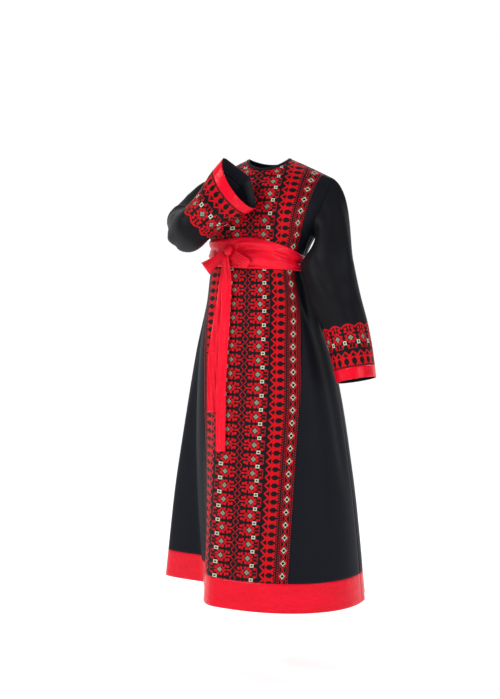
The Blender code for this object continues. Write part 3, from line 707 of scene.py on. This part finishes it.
class Wire:
    """A value in a material's node tree, so that a pattern can be written as arithmetic."""

    def __init__(self, tree, socket):
        self.tree = tree
        self.socket = socket

    def math(self, operation, *others):
        node = self.tree.nodes.new("ShaderNodeMath")
        node.operation = operation
        for slot, value in enumerate((self,) + others):
            if isinstance(value, Wire):
                self.tree.links.new(value.socket, node.inputs[slot])
            else:
                node.inputs[slot].default_value = value
        return Wire(self.tree, node.outputs[0])

    def __add__(self, other):
        return self.math("ADD", other)

    def __sub__(self, other):
        return self.math("SUBTRACT", other)

    def __mul__(self, other):
        return self.math("MULTIPLY", other)

    def __truediv__(self, other):
        return self.math("DIVIDE", other)

    def floor(self):
        return self.math("FLOOR")

    def wrapped(self, length):
        return self - (self / length).floor() * length

    def above(self, other):
        return self.math("GREATER_THAN", other)

    def is_number(self, number):
        return self.math("COMPARE", float(number), 0.5)


class Chart:
    """Stitches by row and column. Shapes repeat with its rows, and later ones lie over earlier ones."""

    def __init__(self, repeat, columns):
        self.repeat = repeat
        self.cells = np.zeros((repeat, columns), int)
        self.columns, self.rows = np.meshgrid(np.arange(columns), np.arange(repeat))
        self.diagonals = self.columns + self.rows

    def off_row(self, row, repeat=None):
        """Distance in rows to the nearest repeat of a row."""
        length = repeat or self.repeat
        return np.abs((self.rows - row + length / 2) % length - length / 2)

    def lay(self, thread, inside):
        self.cells[inside] = THREADS.index(thread)

    def lozenge(self, thread, centre, row, half_wide, half_tall, where=True):
        reach = np.abs(self.columns - centre) / half_wide + self.off_row(row) / half_tall
        self.lay(thread, (reach <= 1.0) & where)

    def disc(self, thread, centre, row, radius):
        self.lay(thread, np.hypot(self.columns - centre, self.off_row(row)) <= radius)

    def block(self, thread, first, last, row, half_tall, where=True):
        inside = (self.columns >= first) & (self.columns <= last) & (self.off_row(row) <= half_tall)
        self.lay(thread, inside & where)


CENTRE_REPEAT = 28
BOTTLE_REPEAT = 16
EDGE_REPEAT = 25
CENTRE_COLUMNS = 53
BOTTLE_COLUMNS = 31
EDGE_COLUMNS = 34
FIRST_ROW = 5


def lay_scrolls(chart):
    """Red curls with a dark outline, in thin red frames."""
    for row, away in ((7, 1), (21, -1)):
        chart.disc(".", 10.5, row, 5.6)
        chart.disc("r", 11.0, row, 2.9)
        chart.disc("r", 16.6, row + away * 0.6, 2.4)
        chart.disc("r", 16.8, row + away * 3.0, 2.0)
        chart.disc("r", 18.6, row - away * 3.4, 1.6)
        chart.block("r", 13, 15, row + away * 0.5, 0.6)
    chain = 6.2 * np.abs(chart.off_row(0, 14) / 7.0 - 1.0)
    chart.lay("r", np.abs(chart.columns - chain) <= 0.75)
    chart.block("r", 6, 21, 0, 1.1)
    chart.lozenge(".", 14.0, 0, 1.6, 1.4)


def lay_flower(chart):
    """A hatched sage lozenge in four pairs of red petals."""
    for row in (-8.7, 8.7):
        for column in (25.6, 32.4):
            chart.disc("r", column, row, 3.1)
    for row in (-3.5, 3.5):
        chart.disc("r", 21.6, row, 2.4)
        chart.disc("r", 36.8, row, 3.3)
    chart.disc("r", 24.4, 6.4, 1.5)
    chart.lozenge(".", 29, 0, 6.4, 6.6)
    chart.lozenge("s", 29, 0, 5.0, 5.4)
    chart.lozenge(".", 29, 0, 3.4, 3.6, where=chart.diagonals % 4 == 1)


def centre_chart():
    """Stitches 0 to 52 from the centre: chain of lozenges, scrolls, flowers, small squares and florets."""
    chart = Chart(CENTRE_REPEAT, CENTRE_COLUMNS)
    lay_scrolls(chart)
    # spindle of three dark beads on a line
    chart.block(".", 6, 36, 14, 0.6)
    chart.lozenge(".", 9.5, 14, 3.6, 3.6)
    chart.lozenge(".", 14.5, 14, 2.2, 2.4)
    chart.lozenge(".", 21.0, 14, 2.6, 5.6)
    lay_flower(chart)
    # small cream square with its dark heart, half a repeat on
    chart.block(".", 34, 44, 14, 4.4)
    chart.block("c", 35, 42, 14, 3.2)
    chart.block(".", 37, 40, 14, 1.2)
    # floret beside the flower: two red heads on a stem from an upright bar
    chart.block("r", 41, 49, 0, 0.6)
    chart.block("r", 49, 50, 0, 9.4, where=chart.diagonals % 2 == 0)
    for row in (-8.0, 8.0):
        chart.disc("r", 44.6, row, 2.7)
        chart.block("r", 45, 50, row, 0.6)
    chart.lozenge(".", 47.5, 14, 4.6, 4.0)
    return chart.cells


def bottle_chart():
    """Stitches 53 to 83: the red zigzag, dark arrowheads in it, and dark bottles lying on red."""
    middle = 2.5
    chart = Chart(BOTTLE_REPEAT, BOTTLE_COLUMNS)
    columns, off = chart.columns, chart.off_row(middle)
    chart.lay("r", columns >= 2.2 + 8.6 * off / 8.0 - 1.7)
    chart.lay(".", (columns >= 5) & (columns <= 12) & (off <= (columns - 3.8) * 0.64))
    chart.block(".", 14, 17, middle, 1.2)
    chart.lozenge(".", 20.0, middle, 6.4, 4.8)
    chart.lay(".", np.hypot((columns - 21.8) / 6.4, off / 5.4) <= 1.0)
    chart.block(".", 27, 30, middle, 1.6)
    chart.lay(".", (columns >= 29) & (off >= 2.0) & (chart.rows % 3 == 1))
    return chart.cells


def edge_chart():
    """Stitches 84 to 117: dotted border, framed cream lozenges with dark hearts, dotted outer edge."""
    chart = Chart(EDGE_REPEAT, EDGE_COLUMNS)
    columns, rows = chart.columns, chart.rows
    for column, beat in ((1, 0), (6, 2), (27, 2), (31, 0)):
        chart.lay("r", (columns >= column) & (columns <= column + 1) & ((rows + beat) % 5 < 2))
    chart.lay("r", ((columns == 10) | (columns == 24)) & (rows % 5 != 4))
    lattice = 7.2 * (1.0 - chart.off_row(0) / 12.5)
    chart.lay("r", np.abs(np.abs(columns - 17) - lattice) <= 0.9)
    chart.lozenge(".", 17, 0, 6.6, 7.2)
    chart.lozenge("c", 17, 0, 5.4, 6.2)
    chart.lozenge(".", 17, 0, 3.0, 3.0)
    return chart.cells


CELLS_IN_CHANNEL = 10
CHANNEL_SCALE = 4.0**CELLS_IN_CHANNEL


def packed_rows(chart):
    """Each row of a chart of up to 40 columns as four numbers, two bits a stitch."""
    rows = []
    for row in chart:
        values = []
        for channel in range(4):
            cells = row[channel * CELLS_IN_CHANNEL:(channel + 1) * CELLS_IN_CHANNEL]
            values.append(sum(int(cell) * 4**place for place, cell in enumerate(cells)) / CHANNEL_SCALE)
        rows.append(values)
    return rows


def constant_ramp(tree, factor, colours):
    """A ramp of flat steps, one for each colour."""
    node = tree.nodes.new("ShaderNodeValToRGB")
    ramp = node.color_ramp
    ramp.interpolation = "CONSTANT"
    while len(ramp.elements) < len(colours):
        ramp.elements.new(1.0)
    for number, colour in enumerate(colours):
        ramp.elements[number].position = number / len(colours)
        ramp.elements[number].color = colour
    tree.links.new(factor.socket, node.inputs[0])
    return node


def chart_reader(tree, chart, column, row):
    """The thread number at a column and a row of a chart, both whole numbers."""
    length = len(chart)
    node = constant_ramp(tree, (row.wrapped(length) + 0.5) / length, packed_rows(chart))
    split = tree.nodes.new("ShaderNodeSeparateColor")
    tree.links.new(node.outputs["Color"], split.inputs[0])
    channels = [Wire(tree, socket) for socket in (*split.outputs[:3], node.outputs["Alpha"])]
    channel = (column / CELLS_IN_CHANNEL).floor()
    value = channels[0] * channel.is_number(0)
    for number in range(1, 4):
        value = value + channels[number] * channel.is_number(number)
    whole = value.math("MULTIPLY_ADD", CHANNEL_SCALE, 0.5).floor()
    power = column.wrapped(CELLS_IN_CHANNEL).math("MULTIPLY", 2.0)
    base = tree.nodes.new("ShaderNodeValue")
    base.outputs[0].default_value = 2.0
    place = Wire(tree, base.outputs[0]).math("POWER", power)
    return (whole / place).floor().wrapped(4.0)


def embroidery_threads(tree, across, down):
    """Thread number from the stitches off the pattern's centre line and the stitches along it."""
    column = across.floor()
    row = down.floor()
    charts = centre_chart()
    split = 4 * CELLS_IN_CHANNEL
    first = chart_reader(tree, charts[:, :split], column, row)
    second = chart_reader(tree, charts[:, split:], column - float(split), row)
    third = chart_reader(tree, bottle_chart(), column - float(CENTRE_COLUMNS), row)
    fourth = chart_reader(tree, edge_chart(), column - float(CENTRE_COLUMNS + BOTTLE_COLUMNS), row)
    bottles_from = CENTRE_COLUMNS - 0.5
    edge_from = CENTRE_COLUMNS + BOTTLE_COLUMNS - 0.5
    past_first = column.above(split - 0.5)
    past_second = column.above(bottles_from)
    past_third = column.above(edge_from)
    total = first * (past_first * -1.0 + 1.0)
    total = total + second * (past_first - past_second)
    total = total + third * (past_second - past_third)
    return total + fourth * past_third


def new_material(name):
    material = bpy.data.materials.new(name)
    material.use_nodes = True
    tree = material.node_tree
    tree.nodes.clear()
    output = tree.nodes.new("ShaderNodeOutputMaterial")
    shader = tree.nodes.new("ShaderNodeBsdfPrincipled")
    tree.links.new(shader.outputs[0], output.inputs[0])
    return material, tree, shader


def uv_node(tree):
    node = tree.nodes.new("ShaderNodeUVMap")
    node.uv_map = "cloth"
    return node


def uv_wires(tree, node):
    split = tree.nodes.new("ShaderNodeSeparateXYZ")
    tree.links.new(node.outputs[0], split.inputs[0])
    return Wire(tree, split.outputs[0]), Wire(tree, split.outputs[1])


def set_inputs(node, values):
    for name, value in values.items():
        node.inputs[name].default_value = value


def noise(tree, vector, scale, detail):
    node = tree.nodes.new("ShaderNodeTexNoise")
    set_inputs(node, {"Scale": scale, "Detail": detail})
    tree.links.new(vector, node.inputs["Vector"])
    return Wire(tree, node.outputs[0])


def bump(tree, shader, height, strength, distance):
    node = tree.nodes.new("ShaderNodeBump")
    set_inputs(node, {"Strength": strength, "Distance": distance})
    tree.links.new(height.socket, node.inputs["Height"])
    tree.links.new(node.outputs[0], shader.inputs["Normal"])


def mix_node(tree, pairs, blend="MIX"):
    node = tree.nodes.new("ShaderNodeMix")
    node.data_type = "RGBA"
    node.blend_type = blend
    for name, value in pairs.items():
        if isinstance(value, bpy.types.NodeSocket):
            tree.links.new(value, node.inputs[name])
        else:
            node.inputs[name].default_value = value
    return node.outputs["Result"]


def mix_colour(tree, factor, low, high):
    return mix_node(tree, {"Factor": factor.socket, "A": low, "B": high})


CREPE_FINISH = {
    "Roughness": 0.52,
    "Specular IOR Level": 0.09,
    "Sheen Weight": 0.012,
    "Sheen Roughness": 0.45,
    "Sheen Tint": (0.72, 0.80, 1.0, 1.0),
}
SATIN_FINISH = {"Roughness": 0.30, "Specular IOR Level": 0.28, "Specular Tint": (1.0, 0.55, 0.55, 1.0)}
CREPE_COLOURS = ((0.0036, 0.0044, 0.0076, 1.0), (0.0060, 0.0074, 0.0122, 1.0))


def crepe_material():
    material, tree, shader = new_material("black_crepe")
    set_inputs(shader, CREPE_FINISH)
    cloth = uv_node(tree).outputs[0]
    soft = noise(tree, cloth, scale=9.0, detail=2.0)
    tree.links.new(mix_colour(tree, soft, *CREPE_COLOURS), shader.inputs["Base Color"])
    grain = noise(tree, cloth, scale=900.0, detail=2.0)
    bump(tree, shader, grain, strength=0.25, distance=0.0004)
    return material


def satin_material(name, dark, light):
    material, tree, shader = new_material(name)
    set_inputs(shader, SATIN_FINISH)
    cloth = uv_node(tree).outputs[0]
    # The base colour runs in long streaks between a deeper and a lighter red: painted sheen, the satin's
    # highlights laid into its colour.
    sheen_streaks = tree.nodes.new("ShaderNodeMapping")
    set_inputs(sheen_streaks, {"Scale": (14.0, 30.0, 1.0)})
    tree.links.new(cloth, sheen_streaks.inputs["Vector"])
    painted_sheen = noise(tree, sheen_streaks.outputs[0], scale=1.0, detail=3.0)
    tree.links.new(mix_colour(tree, painted_sheen, dark, light), shader.inputs["Base Color"])
    soft = noise(tree, cloth, scale=55.0, detail=3.0)
    bump(tree, shader, soft, strength=0.55, distance=0.0045)
    return material


def sleeve_stitches(u, v):
    """Stitches across and along the band above a cuff, where it is worked, and the arches on its edge.

    v is the distance up from the cuff seam, so the dotted border and the bottles stand next to the satin.
    """
    across = v / STITCH * -1.0 + SLEEVE_LAST_STITCH
    down = u / STITCH
    wave = (down / CENTRE_REPEAT * math.pi).math("COSINE").math("ABSOLUTE")
    scallop = wave * -SCALLOP_RISE + SCALLOP_FOOT
    column = across.floor()
    arch = ((column - scallop).math("ABSOLUTE") * -1.0 + ARCH_HALF).above(0.0)
    return across, down, column.above(scallop), arch


def worn_thread(tree, cloth, colour):
    """The thread's colour with soft light and dark patches over it."""
    shade = (noise(tree, cloth, scale=260.0, detail=1.0) * THREAD_LIGHT).socket
    grey = tree.nodes.new("ShaderNodeCombineColor")
    for socket in grey.inputs[:3]:
        tree.links.new(shade, socket)
    return mix_node(tree, {"Factor": THREAD_WEAR, "A": colour, "B": grey.outputs[0]}, "MULTIPLY")


def embroidery_material(name, sleeve):
    """Counted cross-stitch on black crepe: all over the panel, or only in the band above a cuff."""
    material, tree, shader = new_material(name)
    set_inputs(shader, CREPE_FINISH)
    node = uv_node(tree)
    u, v = uv_wires(tree, node)
    if sleeve:
        across, down, within, arch = sleeve_stitches(u, v)
        thread = embroidery_threads(tree, across, down) * within
        thread = thread * (arch * -1.0 + 1.0) + arch
    else:
        across = u.math("ABSOLUTE") / STITCH
        down = v / STITCH + float(FIRST_ROW)
        thread = embroidery_threads(tree, across, down)
    ramp = constant_ramp(tree, (thread + 0.5) / len(THREADS), THREAD_COLOURS)
    colour = worn_thread(tree, node.outputs[0], ramp.outputs["Color"])
    tree.links.new(colour, shader.inputs["Base Color"])
    # each stitch is a small crossed mound of thread
    from_middle = [(place.wrapped(1.0) - 0.5).math("ABSOLUTE") for place in (across, down)]
    cross = (from_middle[0] - from_middle[1]).math("ABSOLUTE") * -1.0 + 0.5
    bump(tree, shader, cross * thread.above(0.5), strength=0.45, distance=0.0006)
    return material


def pattern_across(heights):
    """Distance off the pattern's centre line at each row and column of the panel, in metres.

    The wearer's right edge lies in the skirt's fold, so less of the pattern is on the outside there.
    """
    share = 2.0 * shares(PANEL_COLUMNS) - 1.0
    tucked = -(PLAIN_SHARE + (-share - PLAIN_SHARE) * TUCKED_SCALE)
    share = np.where(share < -PLAIN_SHARE, tucked, share)[None, :]
    ends = smooth((heights - NARROW_ENDS) / NARROW_END_BLEND)
    below_waist = smooth((WAIST - heights) / NARROW_BLEND) * ends
    narrow = 1.0 + NARROWER * below_waist[:, None]
    return share * PATTERN_HALF * np.where(share > 0, narrow, 1.0)


def build_body(materials):
    """Front, back and hem bands, all creased together so that neighbours still meet."""
    front, back, band_row = body_grids()
    normals = grid_normals([front, back], [False, False])
    front = front + normals[0] * body_relief(front)[..., None]
    back = back + normals[1] * body_relief(back)[..., None]
    first = SIDE_COLUMNS
    last = SIDE_COLUMNS + PANEL_COLUMNS
    down = lengths_along(front)
    down = down - down[YOKE_ROWS]
    panel = front[:band_row + 1, first:last + 1]
    across = pattern_across(panel[:, PANEL_COLUMNS // 2, 2])
    panel_down = down[:band_row + 1, first:last + 1].copy()
    panel_down[YOKE_ROWS:] = down[YOKE_ROWS:band_row + 1, [(first + last) // 2]]
    uv = np.stack([across, panel_down], axis=-1)
    made = {}
    lining = materials["crepe"]
    made["front_panel"] = make_piece("front_panel", panel, uv, materials["panel"], lining=lining)
    pieces = (
        ("side_front_right", front[:band_row + 1, :first + 1], "crepe"),
        ("side_front_left", front[:band_row + 1, last:], "crepe"),
        ("back", back[:band_row + 1], "crepe"),
        ("hem_band_front", front[band_row:], "satin"),
        ("hem_band_back", back[band_row:], "satin"),
    )
    for name, grid, cloth in pieces:
        made[name] = make_piece(name, grid, uv_of(grid), materials[cloth])
    return made


def build_sleeve(name, table, side, creases, materials):
    """A sleeve with its embroidered band, and its cuff. The band's pattern closes round the arm."""
    grid, angles, cuff_row = sleeve_grid(table, side)
    normal = grid_normals([grid], [True])[0]
    share = np.linspace(0.0, 1.0, cuff_row + 1)
    share = np.concatenate([share, np.ones(len(grid) - cuff_row - 1)])[:, None]
    degrees = np.degrees(angles)[None, :]
    relief = flat_relief(degrees, share, creases, SLEEVE_GIRTH / 360.0, SLEEVE_LENGTH, 360.0)
    grid = grid + normal * (relief * smooth((1.0 - share) * CUFF_CALM + CUFF_CREASE))[..., None]
    arm = grid[:cuff_row + 1]
    cuff = grid[cuff_row:]
    wide = closed(arm)
    up = lengths_along(wide[::-1])[::-1]
    girth = lengths_along(wide[-1])
    repeats = round(girth[-1] / (CENTRE_REPEAT * STITCH))
    round_the_arm = girth / girth[-1] * repeats * CENTRE_REPEAT * STITCH
    uv = np.stack([np.broadcast_to(round_the_arm, up.shape), up], axis=-1)
    parts = (("sleeve_" + name, arm, uv, "sleeve"), ("cuff_" + name, cuff, uv_of(cuff, True), "satin"))
    return {
        part: make_piece(part, points, places, materials[cloth], around=True, lining=materials["crepe"])
        for part, points, places, cloth in parts
    }


def neck_binding(materials):
    angles = np.radians(np.arange(0.0, 360.0, BINDING_STEP))
    rows = []
    for widen in shares(4) * BINDING_WIDTH:
        x = (NECK_HALF + widen) * np.sin(angles)
        front = np.cos(angles) > -1e-9
        drop = np.where(front, NECK_FRONT, NECK_BACK) + widen
        height = -drop * np.abs(np.cos(angles)) ** BINDING_POWER
        height = np.minimum(height, shoulder_line(np.maximum(np.abs(x), NECK_HALF)))
        y = np.where(front, yoke_surface(x, height, True), yoke_surface(x, height, False))
        rows.append(np.stack([x, y, height], axis=-1))
    grid = np.array(rows)
    grid = grid + BINDING_PROUD * grid_normals([grid], [True])[0]
    return make_piece("neck_binding", grid, uv_of(grid, True), materials["crepe"], around=True)


def sash_wrap(materials):
    """The sash round the waist, in folds that fan out from the knot."""
    turns = np.arange(-180.0, 180.0, SASH_STEP)
    top = along(SASH, "turn", "top", turns)
    bottom = along(SASH, "turn", "bottom", turns)
    across = shares(SASH_ROWS)
    edges = list(zip(top, bottom, turns))
    grid = np.array([[ring(t + (b - t) * share, turn) for t, b, turn in edges] for share in across])
    normal = grid_normals([grid], [True])[0]
    metres_a_degree = SASH_RADIUS * math.pi / 180.0
    folds = flat_relief(turns[None, :], across[:, None], SASH_FOLDS, metres_a_degree, SASH_HEIGHT)
    edge = smooth(across / SASH_EDGE) * smooth((1.0 - across) / SASH_EDGE)
    off = SASH_OFF + SASH_PROUD * edge[:, None] + FOLD_GAIN * folds
    grid = grid + normal * np.maximum(off, SASH_LEAST)[..., None]
    return make_piece("sash_wrap", grid, uv_of(grid, True), materials["sash"], around=True)


def sash_tail(name, top, bottom, side_top, side_bottom, width, stand_off, materials):
    """A hanging end of the sash, softly creased along its length, with its hem turned up."""
    rows = []
    columns = shares(TAIL_COLUMNS)
    for share in shares(TAIL_ROWS):
        height = top + (bottom - top) * share
        side = side_top + (side_bottom - side_top) * smooth(share * TAIL_DRIFT)
        spread = TAIL_PINCH + (1.0 - TAIL_PINCH) * smooth(share * TAIL_OPENS)
        x = KNOT_CENTRE[0] + side + width * (columns - 0.5) * spread
        turns = np.linspace(-TAIL_REACH, TAIL_REACH, 80 * RING_SAMPLES + 1)
        points = ring(height, turns)
        front = np.abs(turns) < TAIL_NEAR
        order = np.argsort(points[front, 0])
        y = np.interp(x, points[front][order, 0], points[front][order, 1])
        y = y + (y.min() - y) * FLAT_SHARE
        wander = 2.2 * math.sin(share * 5.0 + width * 90.0)
        crease_up = TAIL_FOLD * np.cos((columns * 2.4 + 0.3 * wander) * math.pi)
        crease_up = crease_up + TAIL_RIPPLE * np.sin((columns * 5.0 - share * 9.0) * math.pi)
        hem = HEM_TURNED * smooth((share - HEM_FROM) / HEM_STEP)
        clear = stand_off + TAIL_CLEAR + TAIL_FORWARD * (1.0 - smooth((top - height) / TAIL_SETTLES))
        rows.append(np.stack([x, y - clear - crease_up - hem, np.full(len(x), height)], axis=-1))
    grid = np.array(rows)
    return make_piece(name, grid, uv_of(grid), materials["sash"], thickness=SATIN)


def sash_loop(name, out, length, end_width, knot_width, fullness, rounding, materials):
    """A bow loop: the strip runs out from the knot in pleats, turns over and comes back under itself."""
    out = unit(np.array(out))
    ahead = np.array([0.0, -1.0, 0.0])
    across = unit(np.cross(out, ahead))
    reach_knot = abs(out[0]) * KNOT_HALF[0] + abs(out[2]) * KNOT_HALF[2] * KNOT_SHOULDER + LOOP_CLEAR
    start = np.array(KNOT_CENTRE) + out * reach_knot
    start[1] -= LOOP_FORWARD
    columns = shares(LOOP_COLUMNS) - 0.5
    rows = []
    for angle in np.radians(np.linspace(0.0, 180.0, LOOP_ROWS + 1)):
        lift = math.sin(angle)
        reach = length * lift**LOOP_TIP
        apart = fullness * math.cos(angle) * (LOOP_SHUT + (1.0 - LOOP_SHUT) * lift)
        wide = knot_width + (end_width - knot_width) * lift**LOOP_WIDENS
        wide *= math.sqrt(1.0 - rounding * lift**5)
        line = columns[:, None] * wide * across
        bow = LOOP_BOW * lift * np.cos(columns * math.pi)[:, None] * ahead * math.cos(angle)
        pleat = LOOP_PLEAT * (1.0 - LOOP_SMOOTHS * lift) * np.cos(columns * LOOP_PLEATS * math.pi)[:, None] * ahead
        side = math.copysign(1.0, math.cos(angle))
        rows.append(start + reach * out + apart * ahead + line + bow + pleat * side)
    grid = np.array(rows)
    return make_piece(name, grid, uv_of(grid), materials["sash"], thickness=SATIN)


def sash_knot(materials):
    """The knot: satin drawn tight round the sash, with creases running over it."""
    rows = []
    for latitude in np.radians(np.linspace(-88.0, 88.0, 46)):
        turns = np.radians(np.arange(0.0, 360.0, 5.0))
        level, rise = np.cos(latitude), np.sin(latitude)
        point = np.stack([level * np.cos(turns), level * np.sin(turns), rise + 0 * turns], axis=-1)
        point = np.sign(point) * np.abs(point) ** KNOT_SQUARE
        wave = np.cos(turns * KNOT_GROOVES + 2.0 * rise)
        groove = 1.0 + KNOT_GROOVE * wave * level - KNOT_DRAWN_IN
        rows.append(np.array(KNOT_CENTRE) + point * np.array(KNOT_HALF) * groove[:, None])
    grid = np.array(rows)[::-1]
    return make_piece("sash_knot", grid, uv_of(grid, True), materials["sash"], around=True)


def declare(made):
    """Every piece rides on the one body; its CAD part is hidden."""
    for name, obj in made.items():
        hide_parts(name)
        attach(obj, "root")


def stage_material(name, colour, roughness, glow):
    material, _, shader = new_material(name)
    glowing = {"Emission Color": (1.0, 1.0, 1.0, 1.0), "Emission Strength": glow}
    set_inputs(shader, {"Base Color": colour, "Roughness": roughness, **glowing})
    return material


def add_light(name, place, target, size, power, colour):
    data = bpy.data.lights.new(name, "AREA")
    data.shape = "DISK"
    data.size = size
    data.energy = power
    data.color = colour
    obj = bpy.data.objects.new(name, data)
    bpy.context.scene.collection.objects.link(obj)
    obj.location = place
    way = np.array(target) - np.array(place)
    tilt = math.atan2(way[2], math.hypot(way[0], way[1]))
    obj.rotation_euler = (math.pi / 2 + tilt, 0.0, math.atan2(way[1], way[0]) - math.pi / 2)


def add_plane(name, place, turned, grey, glow):
    bpy.ops.mesh.primitive_plane_add(size=STAGE_SIZE, location=place, rotation=turned)
    plane = bpy.context.object
    plane.name = name
    colour = (grey, grey, grey, 1.0)
    plane.data.materials.append(stage_material("pale_" + name, colour, STAGE_ROUGHNESS, glow))


def build_stage():
    upright = (math.pi / 2, 0.0, CAMERA_TURN)
    add_plane("floor", (0.0, 0.0, FLOOR), (0.0, 0.0, 0.0), 0.90, 0.42)
    add_plane("backdrop", (-5.0, 16.0, 10.0), upright, 0.10, 0.93)
    world = bpy.data.worlds.new("studio")
    world.use_nodes = True
    background = world.node_tree.nodes["Background"]
    background.inputs[0].default_value = (1.0, 1.0, 1.0, 1.0)
    background.inputs[1].default_value = WORLD_LIGHT
    scene = bpy.context.scene
    scene.world = world
    scene.view_settings.view_transform = "Standard"
    for light in LIGHTS:
        add_light(*light)
    data = bpy.data.cameras.new("camera")
    data.lens = CAMERA_LENS
    data.shift_y = CAMERA_SHIFT_Y
    camera = bpy.data.objects.new("camera", data)
    camera.location = CAMERA_PLACE
    camera.rotation_euler = upright
    scene.collection.objects.link(camera)
    scene.camera = camera


def main():
    materials = {
        "crepe": crepe_material(),
        # The second, lighter red of each satin is its painted sheen, streaked through the deeper red.
        "satin": satin_material("red_satin", (0.62, 0.0008, 0.012, 1.0), (0.84, 0.0020, 0.024, 1.0)),
        "sash": satin_material("sash_satin", (0.68, 0.0010, 0.014, 1.0), (0.92, 0.0080, 0.034, 1.0)),
        "panel": embroidery_material("panel_embroidery", False),
        "sleeve": embroidery_material("sleeve_embroidery", True),
    }
    made = build_body(materials)
    made.update(build_sleeve("left", LEFT_SLEEVE, 1, LEFT_CREASES, materials))
    made.update(build_sleeve("right", RIGHT_SLEEVE, -1, RIGHT_CREASES, materials))
    made["neck_binding"] = neck_binding(materials)
    made["sash_wrap"] = sash_wrap(materials)
    for name, top, bottom, side_top, side_bottom, width, stand_off in TAILS:
        made[name] = sash_tail(name, top, bottom, side_top, side_bottom, width, stand_off, materials)
    for name, x, y, z, length, end_width, knot_width, fullness, rounding in LOOPS:
        made[name] = sash_loop(name, (x, y, z), length, end_width, knot_width, fullness, rounding, materials)
    made["sash_knot"] = sash_knot(materials)
    declare(made)
    build_stage()


main()
